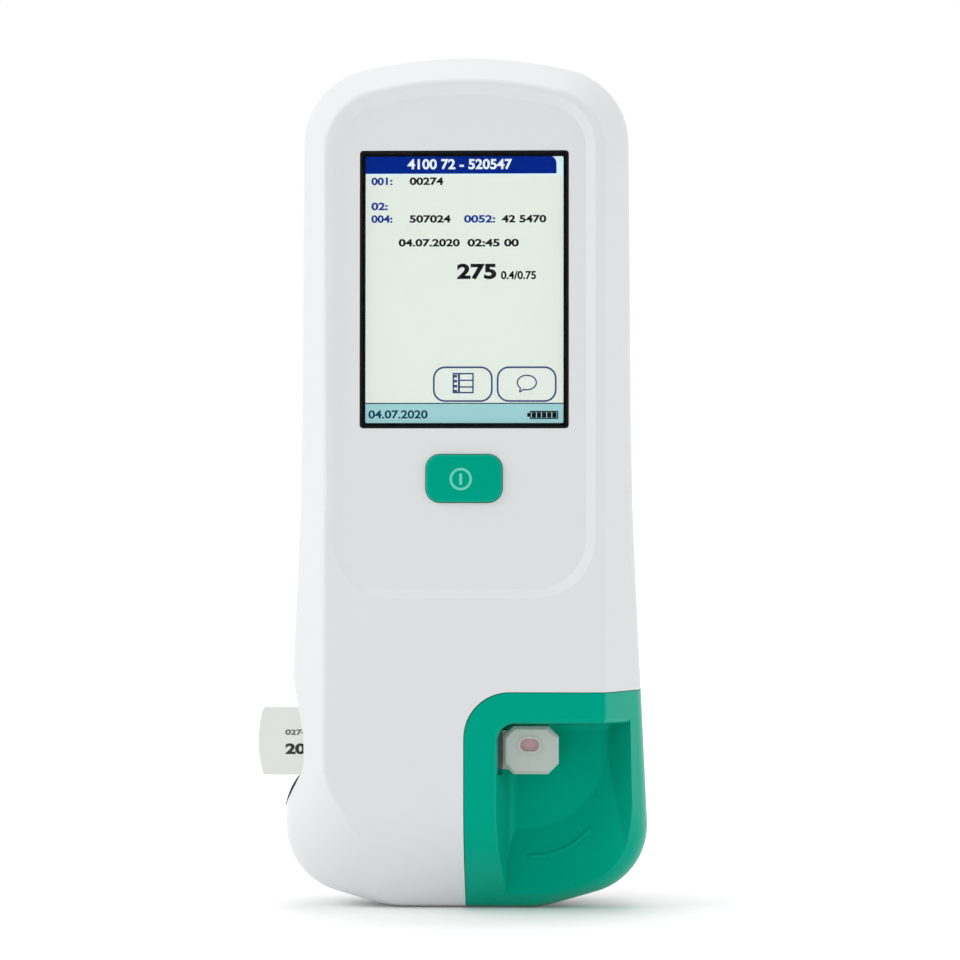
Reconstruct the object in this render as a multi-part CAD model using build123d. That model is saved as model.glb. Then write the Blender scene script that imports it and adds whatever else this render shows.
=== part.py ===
from build123d import *
import math
import os

# Handheld immunoassay analyzer, standing on its base.
# Millimetres. X is to the right as seen from the front, Y runs to the back, Z is up.
# The origin is on the base, in the middle plane, where the two case halves meet.

# Case, outline seen from the front
HEIGHT = 244.0
HALF_LOW = 52.8
WAIST_INSET = 5.4
TOP_INSET = 6.3
HALF_WAIST = HALF_LOW - WAIST_INSET
HALF_TOP = HALF_LOW - TOP_INSET
HALF_BASE = 22.0
BASE_RISE_DEG = 16.0
WAIST_Z = 120.0
APEX_SLOPE_DEG = 12.4
APEX_RADIUS = 130.0
SHOULDER_RADIUS = 21.5
HEEL_RADIUS = 20.0
WAIST_RADIUS = 1200.0
BASE_BLEND_RADIUS = 30.0

# Case, section seen from the side
BAND_FRONT_Y = -8.0
BAND_BACK_Y = 10.0
BAND_EDGE_RADIUS = 10.0
FACE_LOW_Y = -25.3
FACE_LOW_Z = 40.0
FACE_TILT_DEG = 1.4
CHIN_Z = 21.0
CHIN_RADIUS = 30.0
BASE_FRONT_Y = -7.0
BACK_Y = 25.7
BACK_BEND_Z = 75.0
BACK_TILT_DEG = 4.7
BACK_BEND_RADIUS = 150.0
FACE_EDGE_RADIUS = 1.4
BACK_EDGE_RADIUS = 5.0

# How far the mould's draft draws the outline in at the front and at the back
FRONT_DRAFT_Y = -28.0
FRONT_DRAFT = {"low": 14.8, "side": 10.2, "top": 12.0, "base": 22.0, "shoulder": 15.0, "heel": 24.0}
BACK_DRAFT_Y = 28.0
BACK_DRAFT = {"low": 8.0, "side": 8.0, "top": 10.0, "base": 8.0, "shoulder": 16.0, "heel": 22.0}

# Walls and clearances
WALL = 2.0
SEAM = 0.2
FIT = 0.2
SLIDE_FIT = 0.3
PARTING_WIDTH = 0.4
PARTING_DEPTH = 0.8

# Recessed panel on the face
PANEL_DEPTH = 1.2
PANEL_MARGIN = 9.2
PANEL_HALF = HALF_TOP - PANEL_MARGIN
PANEL_SLOPE = 2.8
PANEL_TOP_Z = HEIGHT - 8.8
PANEL_LOW_Z = 89.3
PANEL_ARCH_RADIUS = 100.0
PANEL_SHOULDER_RADIUS = 15.0
PANEL_CORNER_RADIUS = 17.0

# Display
DISPLAY_Z = HEIGHT - 67.0
DISPLAY_WIDTH = 59.2
DISPLAY_HEIGHT = 78.8
DISPLAY_CORNER = 1.0
FRAME_LINE = 1.45
GLASS_RIM = 0.6
GLASS_THICKNESS = 1.1
GASKET_FOAM = 0.1
LCD_BORDER = 2.4
LCD_DRIVER_LEDGE = 2.4
LCD_THICKNESS = 3.6
LCD_CORNER = 1.0
LCD_POCKET = 0.4
LCD_WIDTH = DISPLAY_WIDTH + 2 * LCD_BORDER
LCD_HEIGHT = DISPLAY_HEIGHT + 2 * LCD_BORDER + LCD_DRIVER_LEDGE
LCD_NEAR = PANEL_DEPTH + WALL + GASKET_FOAM
LCD_FAR = LCD_NEAR + LCD_THICKNESS
HOLDER_WALL = 1.8
HOLDER_BACK = 1.6
HOLDER_RIM = 7.0
HOLDER_CORNER = 2.5
HOLDER_POST_INSET = 4.0
DISPLAY_RIBBON_START = 12.0
DISPLAY_RIBBON_REACH = 14.0
DISPLAY_RIBBON_OUT = 2.4

# Power button and the switch behind it
BUTTON_Z = 123.3
BUTTON_WIDTH = 21.6
BUTTON_HEIGHT = 13.5
BUTTON_CORNER = 4.0
BUTTON_EDGE_RADIUS = 0.8
BUTTON_FLANGE = 1.5
BUTTON_FLANGE_THICKNESS = 0.8
BUTTON_TRAVEL = 0.8
BUTTON_STEM_RADIUS = 2.0
SWITCH_BODY = 6.0
SWITCH_HEIGHT = 3.2
PLUNGER_RADIUS = 1.7
PLUNGER_HEIGHT = 0.8

# Boards and the posts that carry them
BOARD_THICKNESS = 1.6
MAIN_BOARD_FRONT_Y = -11.0
MAIN_BOARD_BACK_Y = MAIN_BOARD_FRONT_Y + BOARD_THICKNESS
MAIN_BOARD_HALF = 35.0
MAIN_BOARD_LOW_Z = 78.0
MAIN_BOARD_TOP_Z = HEIGHT - 28.0
MAIN_BOARD_CORNER = 3.0
POST_RADIUS = 2.5
BOARD_POST_X = 28.0
BOARD_POST_Z = 84.0
MEASURING_BOARD_FRONT_Y = 1.5
MEASURING_BOARD_BACK_Y = MEASURING_BOARD_FRONT_Y + BOARD_THICKNESS
MEASURING_BOARD_LEFT = -(HALF_LOW - 10.2)
MEASURING_BOARD_RIGHT = HALF_LOW - 12.2
MEASURING_BOARD_TOP_Z = 70.0
RIBBON_THICKNESS = 0.3
RIBBON_BEND = 1.0
DISPLAY_RIBBON_WIDTH = 18.0
LINK_WIDTH = 12.0
LINK_BEND = 3.0
LINK_LAP = 5.0
LINK_RISE = 4.0
LINK_START = 3.0
LINK_END = 10.0

# Parts on the main board's back, as x, z, width, length, height
CHIPS = [
    (-14, 150, 17, 17, 1.6),
    (-14, 172, 12, 8, 1.2),
    (-14, 128, 10, 14, 1.2),
    (20, 180, 9, 9, 1.2),
    (-24, 100, 6, 8, 2.0),
    (-12, 100, 6, 8, 2.0),
]
SHIELD = (16, 152, 24, 30, 2.6)
SHIELD_WALL = 0.5
BUZZER_X = 18.0
BUZZER_Z = 100.0
BUZZER_RADIUS = 6.0
BUZZER_HEIGHT = 4.0
BUZZER_HOLE_RADIUS = 1.0
BUZZER_HOLE_DEPTH = 1.5
CELL_X = -16.0
CELL_Z = MAIN_BOARD_TOP_Z - 18.0
CELL_RADIUS = 8.0
CELL_HEIGHT = 3.2

# Case screws, as (x, z), with their pillars
SCREWS = [
    (-(HALF_TOP - 8.0), HEIGHT - 20.5),
    (HALF_TOP - 8.0, HEIGHT - 20.5),
    (-(HALF_WAIST - 7.0), 128.0),
    (HALF_WAIST - 7.0, 128.0),
    (-(HALF_LOW - 15.0), 20.0),
    (-7.0, 19.0),
    (HALF_LOW - 11.0, 71.0),
]
PILLAR_RADIUS = 3.4
SCREW_RADIUS = 1.1
SCREW_HEAD_RADIUS = 2.3
SCREW_HEAD_HEIGHT = 1.8
SCREW_SEAT_Y = 4.0
SCREW_DEPTH = 7.0

# Green measuring cover, the lower right corner of the front
COVER_LEFT = 0.0
COVER_TOP = 62.7
COVER_CORNER_RADIUS = 13.0
TAB_LENGTH = 3.5
TAB_WIDTH = 8.0
TAB_THICKNESS = 1.4
TAB_Z = 33.5

# Scoop in the measuring cover: its outline at the floor and, much further out, at the depth of the draft
SCOOP_FLOOR_Y = -7.2
SCOOP_FLOOR_SIDES = {"left": 12.5, "top": 53.2, "right": 40.5, "low": 22.7}
SCOOP_MOUTH_SIDES = {"left": 8.6, "top": 54.1, "right": 61.7, "low": -81.0}
SCOOP_CORNER_RADIUS = 5.0
SCOOP_SWEEP_RADIUS = 23.8
SCOOP_ROOT_RADIUS = 3.0
SCOOP_MOUTH_RADIUS = 1.5
RIDGE_X = 19.3
RIDGE_Z = 35.6
RIDGE_Y = -8.6
RIDGE_RADIUS = 20.7
RIDGE_THICKNESS = 0.7
RIDGE_START_DEG = 38.6
RIDGE_SWEEP_DEG = 53.4

# Test strip
STRIP_Z = 46.2
STRIP_INNER_X = -37.0
STRIP_WIDTH = 11.0
STRIP_BACK_Y = -16.4
STRIP_THICKNESS = 3.0
STRIP_Y = (STRIP_BACK_Y - STRIP_THICKNESS, STRIP_BACK_Y)
STRIP_LEAD = 3.0
STRIP_LEAD_INSET = 2.0
STRIP_NOSE_RADIUS = 1.0
STRIP_LEAD_RADIUS = 2.0
COLLAR_X = 11.0
COLLAR_LENGTH = 15.8
COLLAR_WIDTH = 13.6
COLLAR_HEIGHT = 5.4
COLLAR_Y = (STRIP_BACK_Y - COLLAR_HEIGHT, STRIP_BACK_Y)
COLLAR_CORNER = 3.0
COLLAR_BEVEL = 0.9
WELL_X = 18.6
WELL_Z = 47.7
WELL_LENGTH = 5.4
WELL_WIDTH = 3.6
WELL_DEPTH = 1.6
WELL_LIP = 0.7
WELL_LIP_HEIGHT = 0.4
PAD_THICKNESS = 0.6
MEMBRANE_X = (STRIP_INNER_X + 7.5, STRIP_INNER_X + 31.5)
MEMBRANE_WIDTH = 4.0
MEMBRANE_DEPTH = 0.6
MEMBRANE_THICKNESS = 0.3

# Measuring chamber: the guide round the strip, with the heater in its front and the optics on its back
GUIDE_X = (STRIP_INNER_X - 3.4, 4.9)
GUIDE_WALL = 2.0
GUIDE_FRONT = 1.4
GUIDE_FLOOR = 1.8
GUIDE_Y = (STRIP_Y[0] - SLIDE_FIT - GUIDE_FRONT, STRIP_Y[1] + SLIDE_FIT + GUIDE_FLOOR)
GUIDE_PEG_RADIUS = 2.0
GUIDE_PEG_OUT = 2.4
GUIDE_EAR = 2.0
GUIDE_PEGS = [(STRIP_INNER_X + 11.0, -1), (GUIDE_X[1] - 7.0, -1), (STRIP_INNER_X + 24.0, 1)]
HEATER_HALF = 4.0
HEATER_MARGIN = 2.0
HEATER_THICKNESS = 0.8
TRAY_THICKNESS = 1.4
TRAY_WALL = 1.2
TRAY_LOW_Z = 9.0
TRAY_WALL_LOW_Z = 30.0
TRAY_TOP_GAP = 0.5
TRAY_ROOF = 1.5
TRAY_ROOF_Y = -19.0
TRAY_CLEARANCE = 0.6
TRAY_PEG_RADIUS = 2.2
TRAY_PEGS = [(12.0, 18.0), (12.0, 53.0), (36.0, 53.0)]
OPTICS_X = (MEMBRANE_X[0], MEMBRANE_X[1] + 10.0)
OPTICS_Z = (STRIP_Z - 7.6, STRIP_Z + 7.6)
OPTICS_DEPTH = 7.0
OPTICS_Y = (GUIDE_Y[1], GUIDE_Y[1] + OPTICS_DEPTH)
OPTICS_SLOT_DEPTH = 2.0
OPTICS_SLOT_WIDTH = 6.0
OPTICS_SLOT_MARGIN = 1.0
CAMERA_BOARD_THICKNESS = 1.0
CAMERA_BOARD_INSET = 2.0
LENS_X = (MEMBRANE_X[0] + MEMBRANE_X[1]) / 2
LENS_RADIUS = 4.0
LENS_LENGTH = 4.0
LENS_STEP = 1.2
LENS_TIP = 0.8
LIGHT_RADIUS = 1.5
LIGHT_LENGTH = 2.4
LIGHT_DOME_RADIUS = 1.2
LIGHT_X = (LENS_X - 7.5, LENS_X + 7.5)
STRIP_SWITCH_X = (STRIP_INNER_X - 1.0, STRIP_INNER_X + 5.0)
STRIP_SWITCH_WIDTH = 5.0
STRIP_SWITCH_HEIGHT = 2.2

# Code chip, its socket, and the finger notch that it stands in
CHIP_LOW_Z = 37.7
CHIP_TOP_Z = 57.2
CHIP_MIDDLE_Z = (CHIP_LOW_Z + CHIP_TOP_Z) / 2
CHIP_LENGTH = 27.0
CHIP_OUT = 7.3
CHIP_OUT_X = -(HALF_LOW + CHIP_OUT)
CHIP_INNER_X = CHIP_OUT_X + CHIP_LENGTH
CHIP_BOW = 1.4
CHIP_CORNER = 0.8
CHIP_FRONT_Y = -4.0
CHIP_THICKNESS = 3.2
CHIP_Y = (CHIP_FRONT_Y, CHIP_FRONT_Y + CHIP_THICKNESS)
SOCKET_X = (CHIP_INNER_X - 8.2, CHIP_INNER_X + 2.8)
SOCKET_FRONT = 1.2
SOCKET_WALL = 1.6
NOTCH_DEPTH = 6.7
NOTCH_FLOOR_LOW_Z = 40.6
NOTCH_FLOOR_TOP_Z = 49.6
NOTCH_RUN = 10.0
NOTCH_LOW_DROP = 19.0
NOTCH_TOP_RISE = 45.0
NOTCH_LOW_RADIUS = 10.0
NOTCH_TOP_RADIUS = 20.0

# Battery, its well and its cover in the back
BATTERY_WIDTH = 50.0
BATTERY_LENGTH = 74.0
BATTERY_THICKNESS = 14.0
BATTERY_LOW_Z = 97.0
BATTERY_EDGE_RADIUS = 3.0
WELL_FLOOR = 1.2
WELL_WALL = 1.8
CONTACT_GAP = 1.6
CONTACT_X = (-8.0, 0.0, 8.0)
CONTACT_WIDTH = 3.0
CONTACT_Y = (WELL_FLOOR + 3.0, WELL_FLOOR + 9.0)
BATTERY_HALF = BATTERY_WIDTH / 2
BATTERY_Y = (WELL_FLOOR, WELL_FLOOR + BATTERY_THICKNESS)
BATTERY_Z = (BATTERY_LOW_Z, BATTERY_LOW_Z + BATTERY_LENGTH)
CAVITY_HALF = BATTERY_HALF + FIT
CAVITY_Z = (BATTERY_Z[0] - CONTACT_GAP, BATTERY_Z[1] + FIT)
HATCH_MARGIN = 4.0
HATCH_HALF = BATTERY_HALF + HATCH_MARGIN
HATCH_LOW_Z = BATTERY_Z[0] - 7.0
HATCH_TOP_Z = BATTERY_Z[1] + 8.0
HATCH_CORNER = 5.0
LEDGE_WIDTH = 2.0
LEDGE_THICKNESS = 1.5
GRIP_GROOVES = 4
GRIP_Z = HATCH_LOW_Z + 8.0
GRIP_PITCH = 3.0
GRIP_LENGTH = 20.0
GRIP_RADIUS = 1.0
GRIP_LIFT = 0.5

# Ribs and sound slots of the rear cover
RIB_X = [-26.0, 20.0]
RIB_Z = (14.0, 66.0)
RIB_THICKNESS = 2.0
SLOTS = 5
SLOT_LOW_Z = HEIGHT - 50.0
SLOT_PITCH = 3.6
SLOT_LENGTH = 22.0
SLOT_WIDTH = 1.6

# Feet on the back
FOOT_RADIUS = 5.0
FOOT_HEIGHT = 1.8
FOOT_RECESS = 0.8
FOOT_EDGE_RADIUS = 0.6
FEET = [(-30.0, HEIGHT - 32.0), (30.0, HEIGHT - 32.0), (-33.0, 34.0), (33.0, 34.0)]

# Connectors in the base, and the infrared window in the top
CONNECTOR_Y = 5.2
JACK_X = -9.0
JACK_RADIUS = 3.0
JACK_BODY = 9.0
JACK_LIFT = 0.3
JACK_LENGTH = 9.5
JACK_END = 1.5
JACK_PIN_RADIUS = 0.8
JACK_PIN_RECESS = 1.0
DOCK_X = 9.0
DOCK_LENGTH = 12.0
DOCK_WIDTH = 3.6
DOCK_Z = (0.8, 4.0)
DOCK_PINS = 4
DOCK_PITCH = 2.8
DOCK_PIN_RADIUS = 0.7
DOCK_PIN_LENGTH = 0.6
DOCK_PIN_Z = 0.6
WINDOW_LENGTH = 16.0
WINDOW_WIDTH = 5.0
WINDOW_Y = 4.5
WINDOW_FLANGE = 1.0
WINDOW_FLANGE_Z = (HEIGHT - 4.5, HEIGHT)
WINDOW_REACH = 10.0
JACK_Z = (WALL + FIT, WALL + FIT + JACK_LENGTH)
MEASURING_BOARD_LOW_Z = JACK_Z[1] + SLIDE_FIT

# How far a cutting form reaches past what it cuts, and how near two places count as one
OVERSHOOT = 5.0
FAR = 80.0
NEAR = 0.001

os.makedirs("parts", exist_ok=True)


# Helpers

def block(x, y, z):
    """A box between two limits along each axis."""
    middle = [(low + high) / 2 for low, high in (x, y, z)]
    return Pos(*middle) * Box(x[1] - x[0], y[1] - y[0], z[1] - z[0])


def about(middle, width):
    """The two limits of a width about its middle."""
    return middle - width / 2, middle + width / 2


def rod_y(x, z, radius, y):
    """A cylinder along Y."""
    return Pos(x, (y[0] + y[1]) / 2, z) * Rot(90, 0, 0) * Cylinder(radius, y[1] - y[0])


def in_front_view(sketch, y):
    """Places a sketch drawn as (x, z) in the plane at depth y."""
    return Plane.XZ.offset(-y) * sketch


def slab(sketch, y):
    """Extrudes a sketch drawn as (x, z) between two depths."""
    return extrude(in_front_view(sketch, y[1]), y[1] - y[0])


def closed(corners):
    """A face from (x, y, radius) corners."""
    line = FilletPolyline(
        *[(x, y) for x, y, _ in corners],
        radius=[r for _, _, r in corners],
        close=True,
    )
    return make_face(Wire(line.edges()))


def mirrored(right, top=None):
    """A face that is the same on both sides of x = 0, from its right-hand corners, bottom to top."""
    left = [(-x, z, r) for x, z, r in reversed(right)]
    return closed(right + ([top] if top else []) + left)


# Planes of the face and the back

def face_y(z):
    return FACE_LOW_Y + math.tan(math.radians(FACE_TILT_DEG)) * (z - FACE_LOW_Z)


def back_y(z):
    return BACK_Y - math.tan(math.radians(BACK_TILT_DEG)) * max(z - BACK_BEND_Z, 0)


FACE_NORMAL = (0, -math.cos(math.radians(FACE_TILT_DEG)), math.sin(math.radians(FACE_TILT_DEG)))
FACE = Plane(origin=(0, face_y(0), 0), x_dir=(1, 0, 0), z_dir=FACE_NORMAL)


def face_plate(sketch, near, far):
    """Extrudes a sketch drawn on the face, from near to far below it."""
    return extrude(FACE.offset(-far) * sketch, far - near)


def on_the_face(edge):
    """Whether an edge lies in the plane of the face."""
    return all(abs(p.Y - face_y(p.Z)) < NEAR for p in (edge @ 0, edge @ 0.5, edge @ 1))


# Case form

def outline(low=0.0, side=0.0, top=0.0, base=0.0, shoulder=SHOULDER_RADIUS, heel=HEEL_RADIUS, inset=0.0):
    """The outline in the front view, drawn in by the draft and then by inset all round."""
    rise = math.radians(BASE_RISE_DEG)
    apex_slope = math.radians(APEX_SLOPE_DEG)
    half_base = HALF_BASE - low / 2 - inset * math.tan(rise / 2)
    half_low = HALF_LOW - low - inset
    half_top = HALF_TOP - side - inset
    apex_radius = APEX_RADIUS * half_top / HALF_TOP
    apex_z = HEIGHT - top - inset + apex_radius * (1 / math.cos(apex_slope) - 1)
    right = [
        (half_base, base + inset, BASE_BLEND_RADIUS - inset),
        (half_low, base + inset + (half_low - half_base) * math.tan(rise), heel - inset),
        (HALF_WAIST - side - inset, WAIST_Z, WAIST_RADIUS),
        (half_top, apex_z - half_top * math.tan(apex_slope), shoulder - inset),
    ]
    return mirrored(right, (0, apex_z, apex_radius))


def side_section(inset, face_inset):
    """The section in the side view, in the YZ plane. It runs on below the base, which the outline bounds."""
    top_z = HEIGHT + OVERSHOOT
    chin_slope = (BASE_FRONT_Y - face_y(CHIN_Z)) / CHIN_Z
    chin_y = face_y(CHIN_Z) + face_inset
    chin_z = CHIN_Z + inset / 2
    return Plane.YZ * closed([
        (chin_y + chin_slope * (chin_z + OVERSHOOT), -OVERSHOOT, 0),
        (chin_y, chin_z, CHIN_RADIUS - face_inset),
        (face_y(top_z) + face_inset, top_z, 0),
        (back_y(top_z) - inset, top_z, 0),
        (BACK_Y - inset, BACK_BEND_Z, BACK_BEND_RADIUS - inset),
        (BACK_Y - inset, -OVERSHOOT, 0),
    ])


def drafted(inset=0.0):
    """The drafted body before the face and the back are cut."""
    full = outline(inset=inset)
    front_end = in_front_view(outline(**FRONT_DRAFT, inset=inset), FRONT_DRAFT_Y)
    back_end = in_front_view(outline(**BACK_DRAFT, inset=inset), BACK_DRAFT_Y)
    front = loft([in_front_view(full, BAND_FRONT_Y), front_end], ruled=True)
    back = loft([in_front_view(full, BAND_BACK_Y), back_end], ruled=True)
    return front + slab(full, (BAND_FRONT_Y, BAND_BACK_Y)) + back


def ring_at(solid, y):
    return [e for e in solid.edges() if abs((e @ 0).Y - y) < NEAR and abs((e @ 1).Y - y) < NEAR]


def case_outside():
    """The outer form with its edges rounded."""
    body = drafted()
    body = fillet(ring_at(body, BAND_FRONT_Y) + ring_at(body, BAND_BACK_Y), BAND_EDGE_RADIUS)
    profile = extrude(side_section(0, 0), FAR, both=True)
    case = body & profile
    edges = new_edges(body, profile, combined=case)
    case = fillet([e for e in edges if e.center().Y < 0], FACE_EDGE_RADIUS)
    middles = [e.center() for e in edges if e.center().Y > 0]
    back_edges = [e for e in case.edges() if any((e.center() - m).length < NEAR for m in middles)]
    return fillet(back_edges, BACK_EDGE_RADIUS)


def case_inside(inset, face_inset):
    """The space inside walls of a given thickness."""
    return drafted(inset) & extrude(side_section(inset, face_inset), FAR, both=True)


OUTSIDE = case_outside()
INSIDE = case_inside(WALL, WALL + PANEL_DEPTH)
SHELL = OUTSIDE - INSIDE
FRONT_HALF = block((-FAR, FAR), (-FAR, 0), (-2 * OVERSHOOT, HEIGHT + 2 * OVERSHOOT))
BACK_HALF = block((-FAR, FAR), (0, FAR), (-2 * OVERSHOOT, HEIGHT + 2 * OVERSHOOT))


# Finger notch on the left side

def notch(grow=0.0):
    """The air in the notch, as a prism along Y, grown by a wall."""
    floor_x = NOTCH_DEPTH - HALF_LOW + grow
    low_z = NOTCH_FLOOR_LOW_Z - grow * math.tan(math.atan2(NOTCH_RUN, NOTCH_LOW_DROP) / 2)
    top_z = NOTCH_FLOOR_TOP_Z + grow * math.tan(math.atan2(NOTCH_RUN, NOTCH_TOP_RISE) / 2)
    corners = [
        (floor_x - NOTCH_RUN, low_z - NOTCH_LOW_DROP, 0),
        (floor_x, low_z, NOTCH_LOW_RADIUS),
        (floor_x, top_z, NOTCH_TOP_RADIUS),
        (floor_x - NOTCH_RUN, top_z + NOTCH_TOP_RISE, 0),
        (-FAR, top_z + NOTCH_TOP_RISE, 0),
        (-FAR, low_z - NOTCH_LOW_DROP, 0),
    ]
    return slab(closed(corners), (-FAR, FAR))


NOTCHED_SHELL = SHELL + (notch(WALL) & OUTSIDE) - notch()


def parting_groove():
    """The air of the shadow line that runs round the front half's rim and through the notch."""
    y = (-PARTING_WIDTH, 0)
    rim = slab(outline(), y) - slab(outline(inset=PARTING_DEPTH), y)
    return rim + (slab(outline(), y) & notch(PARTING_DEPTH))


# Green cover's place and its scoop

def cover_zone(gap, y):
    """The prism of the front that belongs to the measuring cover, drawn in by gap."""
    corners = [
        (COVER_LEFT + gap, -FAR, 0),
        (COVER_LEFT + gap, COVER_TOP - gap, COVER_CORNER_RADIUS),
        (FAR, COVER_TOP - gap, 0),
        (FAR, -FAR, 0),
    ]
    return slab(closed(corners), y)


def scoop_outline(y, grow):
    """The scoop's outline at a depth, with each side moved out square to its slanted wall."""
    sides = {}
    for name, outwards in (("left", -1), ("top", 1), ("right", 1), ("low", -1)):
        back = SCOOP_FLOOR_SIDES[name]
        slope = (SCOOP_MOUTH_SIDES[name] - back) / (SCOOP_FLOOR_Y - FRONT_DRAFT_Y)
        sides[name] = back + slope * (SCOOP_FLOOR_Y - y) + outwards * grow * math.hypot(1, slope)
    return in_front_view(closed([
        (sides["left"], sides["low"], 0),
        (sides["left"], sides["top"], SCOOP_CORNER_RADIUS + grow),
        (sides["right"], sides["top"], 0),
        (sides["right"], sides["low"], SCOOP_SWEEP_RADIUS),
    ]), y)


def scoop_air(grow=0.0):
    """The air in the scoop, grown by a wall."""
    return loft([scoop_outline(FRONT_DRAFT_Y, grow), scoop_outline(SCOOP_FLOOR_Y + grow, grow)], ruled=True)


def strip_passage(x, y, width):
    """The opening that the strip slides through, of a given width."""
    return block(x, (y[0] - SLIDE_FIT, y[1] + SLIDE_FIT), about(STRIP_Z, width + 2 * SLIDE_FIT))


def scoop_ridge():
    """The low arc-shaped bead on the scoop's ramp, with round ends."""
    bead = Pos(RIDGE_RADIUS, RIDGE_Y) * Circle(RIDGE_THICKNESS)
    ridge = Rot(0, RIDGE_START_DEG, 0) * revolve(bead, Axis.Y, RIDGE_SWEEP_DEG)
    for angle in (RIDGE_START_DEG, RIDGE_START_DEG + RIDGE_SWEEP_DEG):
        ridge += Rot(0, angle, 0) * Pos(RIDGE_RADIUS, RIDGE_Y, 0) * Sphere(RIDGE_THICKNESS)
    return Pos(RIDGE_X, 0, RIDGE_Z) * ridge


def measuring_cover():
    place = cover_zone(SEAM / 2, (-FAR, -SEAM / 2))
    scoop = scoop_air()
    root = [e for e in scoop.edges() if abs(e.center().Y - SCOOP_FLOOR_Y) < NEAR]
    scoop = fillet(root, SCOOP_ROOT_RADIUS)
    blank = (SHELL & place) + (scoop_air(WALL) & OUTSIDE & place)
    cover = blank - scoop
    mouth = [e for e in new_edges(blank, scoop, combined=cover) if on_the_face(e)]
    cover = fillet(mouth, SCOOP_MOUTH_RADIUS) + (scoop_ridge() & OUTSIDE)
    back = face_y(TAB_Z) + WALL + PANEL_DEPTH + FIT
    cover += block((COVER_LEFT - TAB_LENGTH, COVER_LEFT + 2 * WALL), (back, back + TAB_THICKNESS),
                   about(TAB_Z, TAB_WIDTH))
    cover += block((COVER_LEFT + SEAM, COVER_LEFT + 2 * WALL), (back - 2 * FIT, back), about(TAB_Z, TAB_WIDTH))
    lip_y = (COLLAR_Y[0] - WELL_LIP_HEIGHT, COLLAR_Y[1])
    return cover - strip_passage((COVER_LEFT, SCOOP_FLOOR_SIDES["left"] + WALL), lip_y, COLLAR_WIDTH)


# Front cover

def panel_outline(inset):
    """The recessed panel's outline on the face."""
    slope = math.radians(APEX_SLOPE_DEG)
    half = PANEL_HALF - inset
    arch = PANEL_ARCH_RADIUS - inset
    apex = PANEL_TOP_Z - inset + arch * (1 / math.cos(slope) - 1)
    right = [
        (half, PANEL_LOW_Z + inset, PANEL_CORNER_RADIUS - inset),
        (half, apex - half * math.tan(slope), PANEL_SHOULDER_RADIUS - inset),
    ]
    return mirrored(right, (0, apex, arch))


def panel_recess():
    """The air over the recessed panel, with sloping sides that run on in front of the face."""
    return loft([
        FACE.offset(PANEL_DEPTH) * panel_outline(-PANEL_SLOPE),
        FACE.offset(-PANEL_DEPTH) * panel_outline(PANEL_SLOPE),
    ], ruled=True)


def on_face(x, z, width, height, corner):
    """A round-cornered rectangle drawn on the face."""
    return Pos(x, z) * RectangleRounded(width, height, corner)


def display_shape(inset, corner):
    """The display's rectangle, drawn in by inset."""
    return on_face(0, DISPLAY_Z, DISPLAY_WIDTH - 2 * inset, DISPLAY_HEIGHT - 2 * inset, corner)


def button_shape(grow):
    """The power button's rectangle, grown all round."""
    return on_face(0, BUTTON_Z, BUTTON_WIDTH + 2 * grow, BUTTON_HEIGHT + 2 * grow, BUTTON_CORNER + grow)


def front_cover():
    cover = NOTCHED_SHELL & FRONT_HALF
    for x, z in SCREWS:
        cover += rod_y(x, z, PILLAR_RADIUS, (-FAR, 0)) & INSIDE
        cover -= rod_y(x, z, SCREW_RADIUS, (-SCREW_DEPTH, 0))
    for x in (-BOARD_POST_X, BOARD_POST_X):
        cover += rod_y(x, BOARD_POST_Z, POST_RADIUS, (-FAR, MAIN_BOARD_FRONT_Y)) & INSIDE
    cover -= panel_recess()
    cover -= face_plate(display_shape(-FIT / 2, DISPLAY_CORNER), 0, 2 * WALL)
    cover -= face_plate(button_shape(FIT), 0, 2 * WALL)
    cover -= cover_zone(-SEAM / 2, (-FAR, FAR))
    cover -= parting_groove()
    return cover - chip_passage((-FAR, NOTCH_DEPTH - HALF_LOW + 2 * WALL))


# Display, from the glass to its cable

def display_gasket():
    """The black frame and its foam: the glass lies in its front, and its back presses on the display."""
    gasket = face_plate(display_shape(0, DISPLAY_CORNER), PANEL_DEPTH, LCD_NEAR)
    gasket -= face_plate(display_shape(GLASS_RIM, DISPLAY_CORNER / 2), 0, PANEL_DEPTH + GLASS_THICKNESS)
    return gasket - face_plate(display_shape(FRAME_LINE, DISPLAY_CORNER / 2), 0, 2 * LCD_NEAR)


def touch_panel():
    glass = display_shape(GLASS_RIM + FIT / 2, DISPLAY_CORNER / 2)
    return face_plate(glass, PANEL_DEPTH + FIT / 2, PANEL_DEPTH + GLASS_THICKNESS)


def lcd_shape(grow, corner):
    """The LCD module's rectangle, grown all round."""
    return on_face(0, DISPLAY_Z, LCD_WIDTH + 2 * grow, LCD_HEIGHT + 2 * grow, corner)


def lcd_module():
    lcd = face_plate(lcd_shape(0, LCD_CORNER), LCD_NEAR, LCD_FAR)
    return lcd - face_plate(display_shape(FRAME_LINE / 2, LCD_CORNER / 2), 0, LCD_NEAR + LCD_POCKET)


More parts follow.
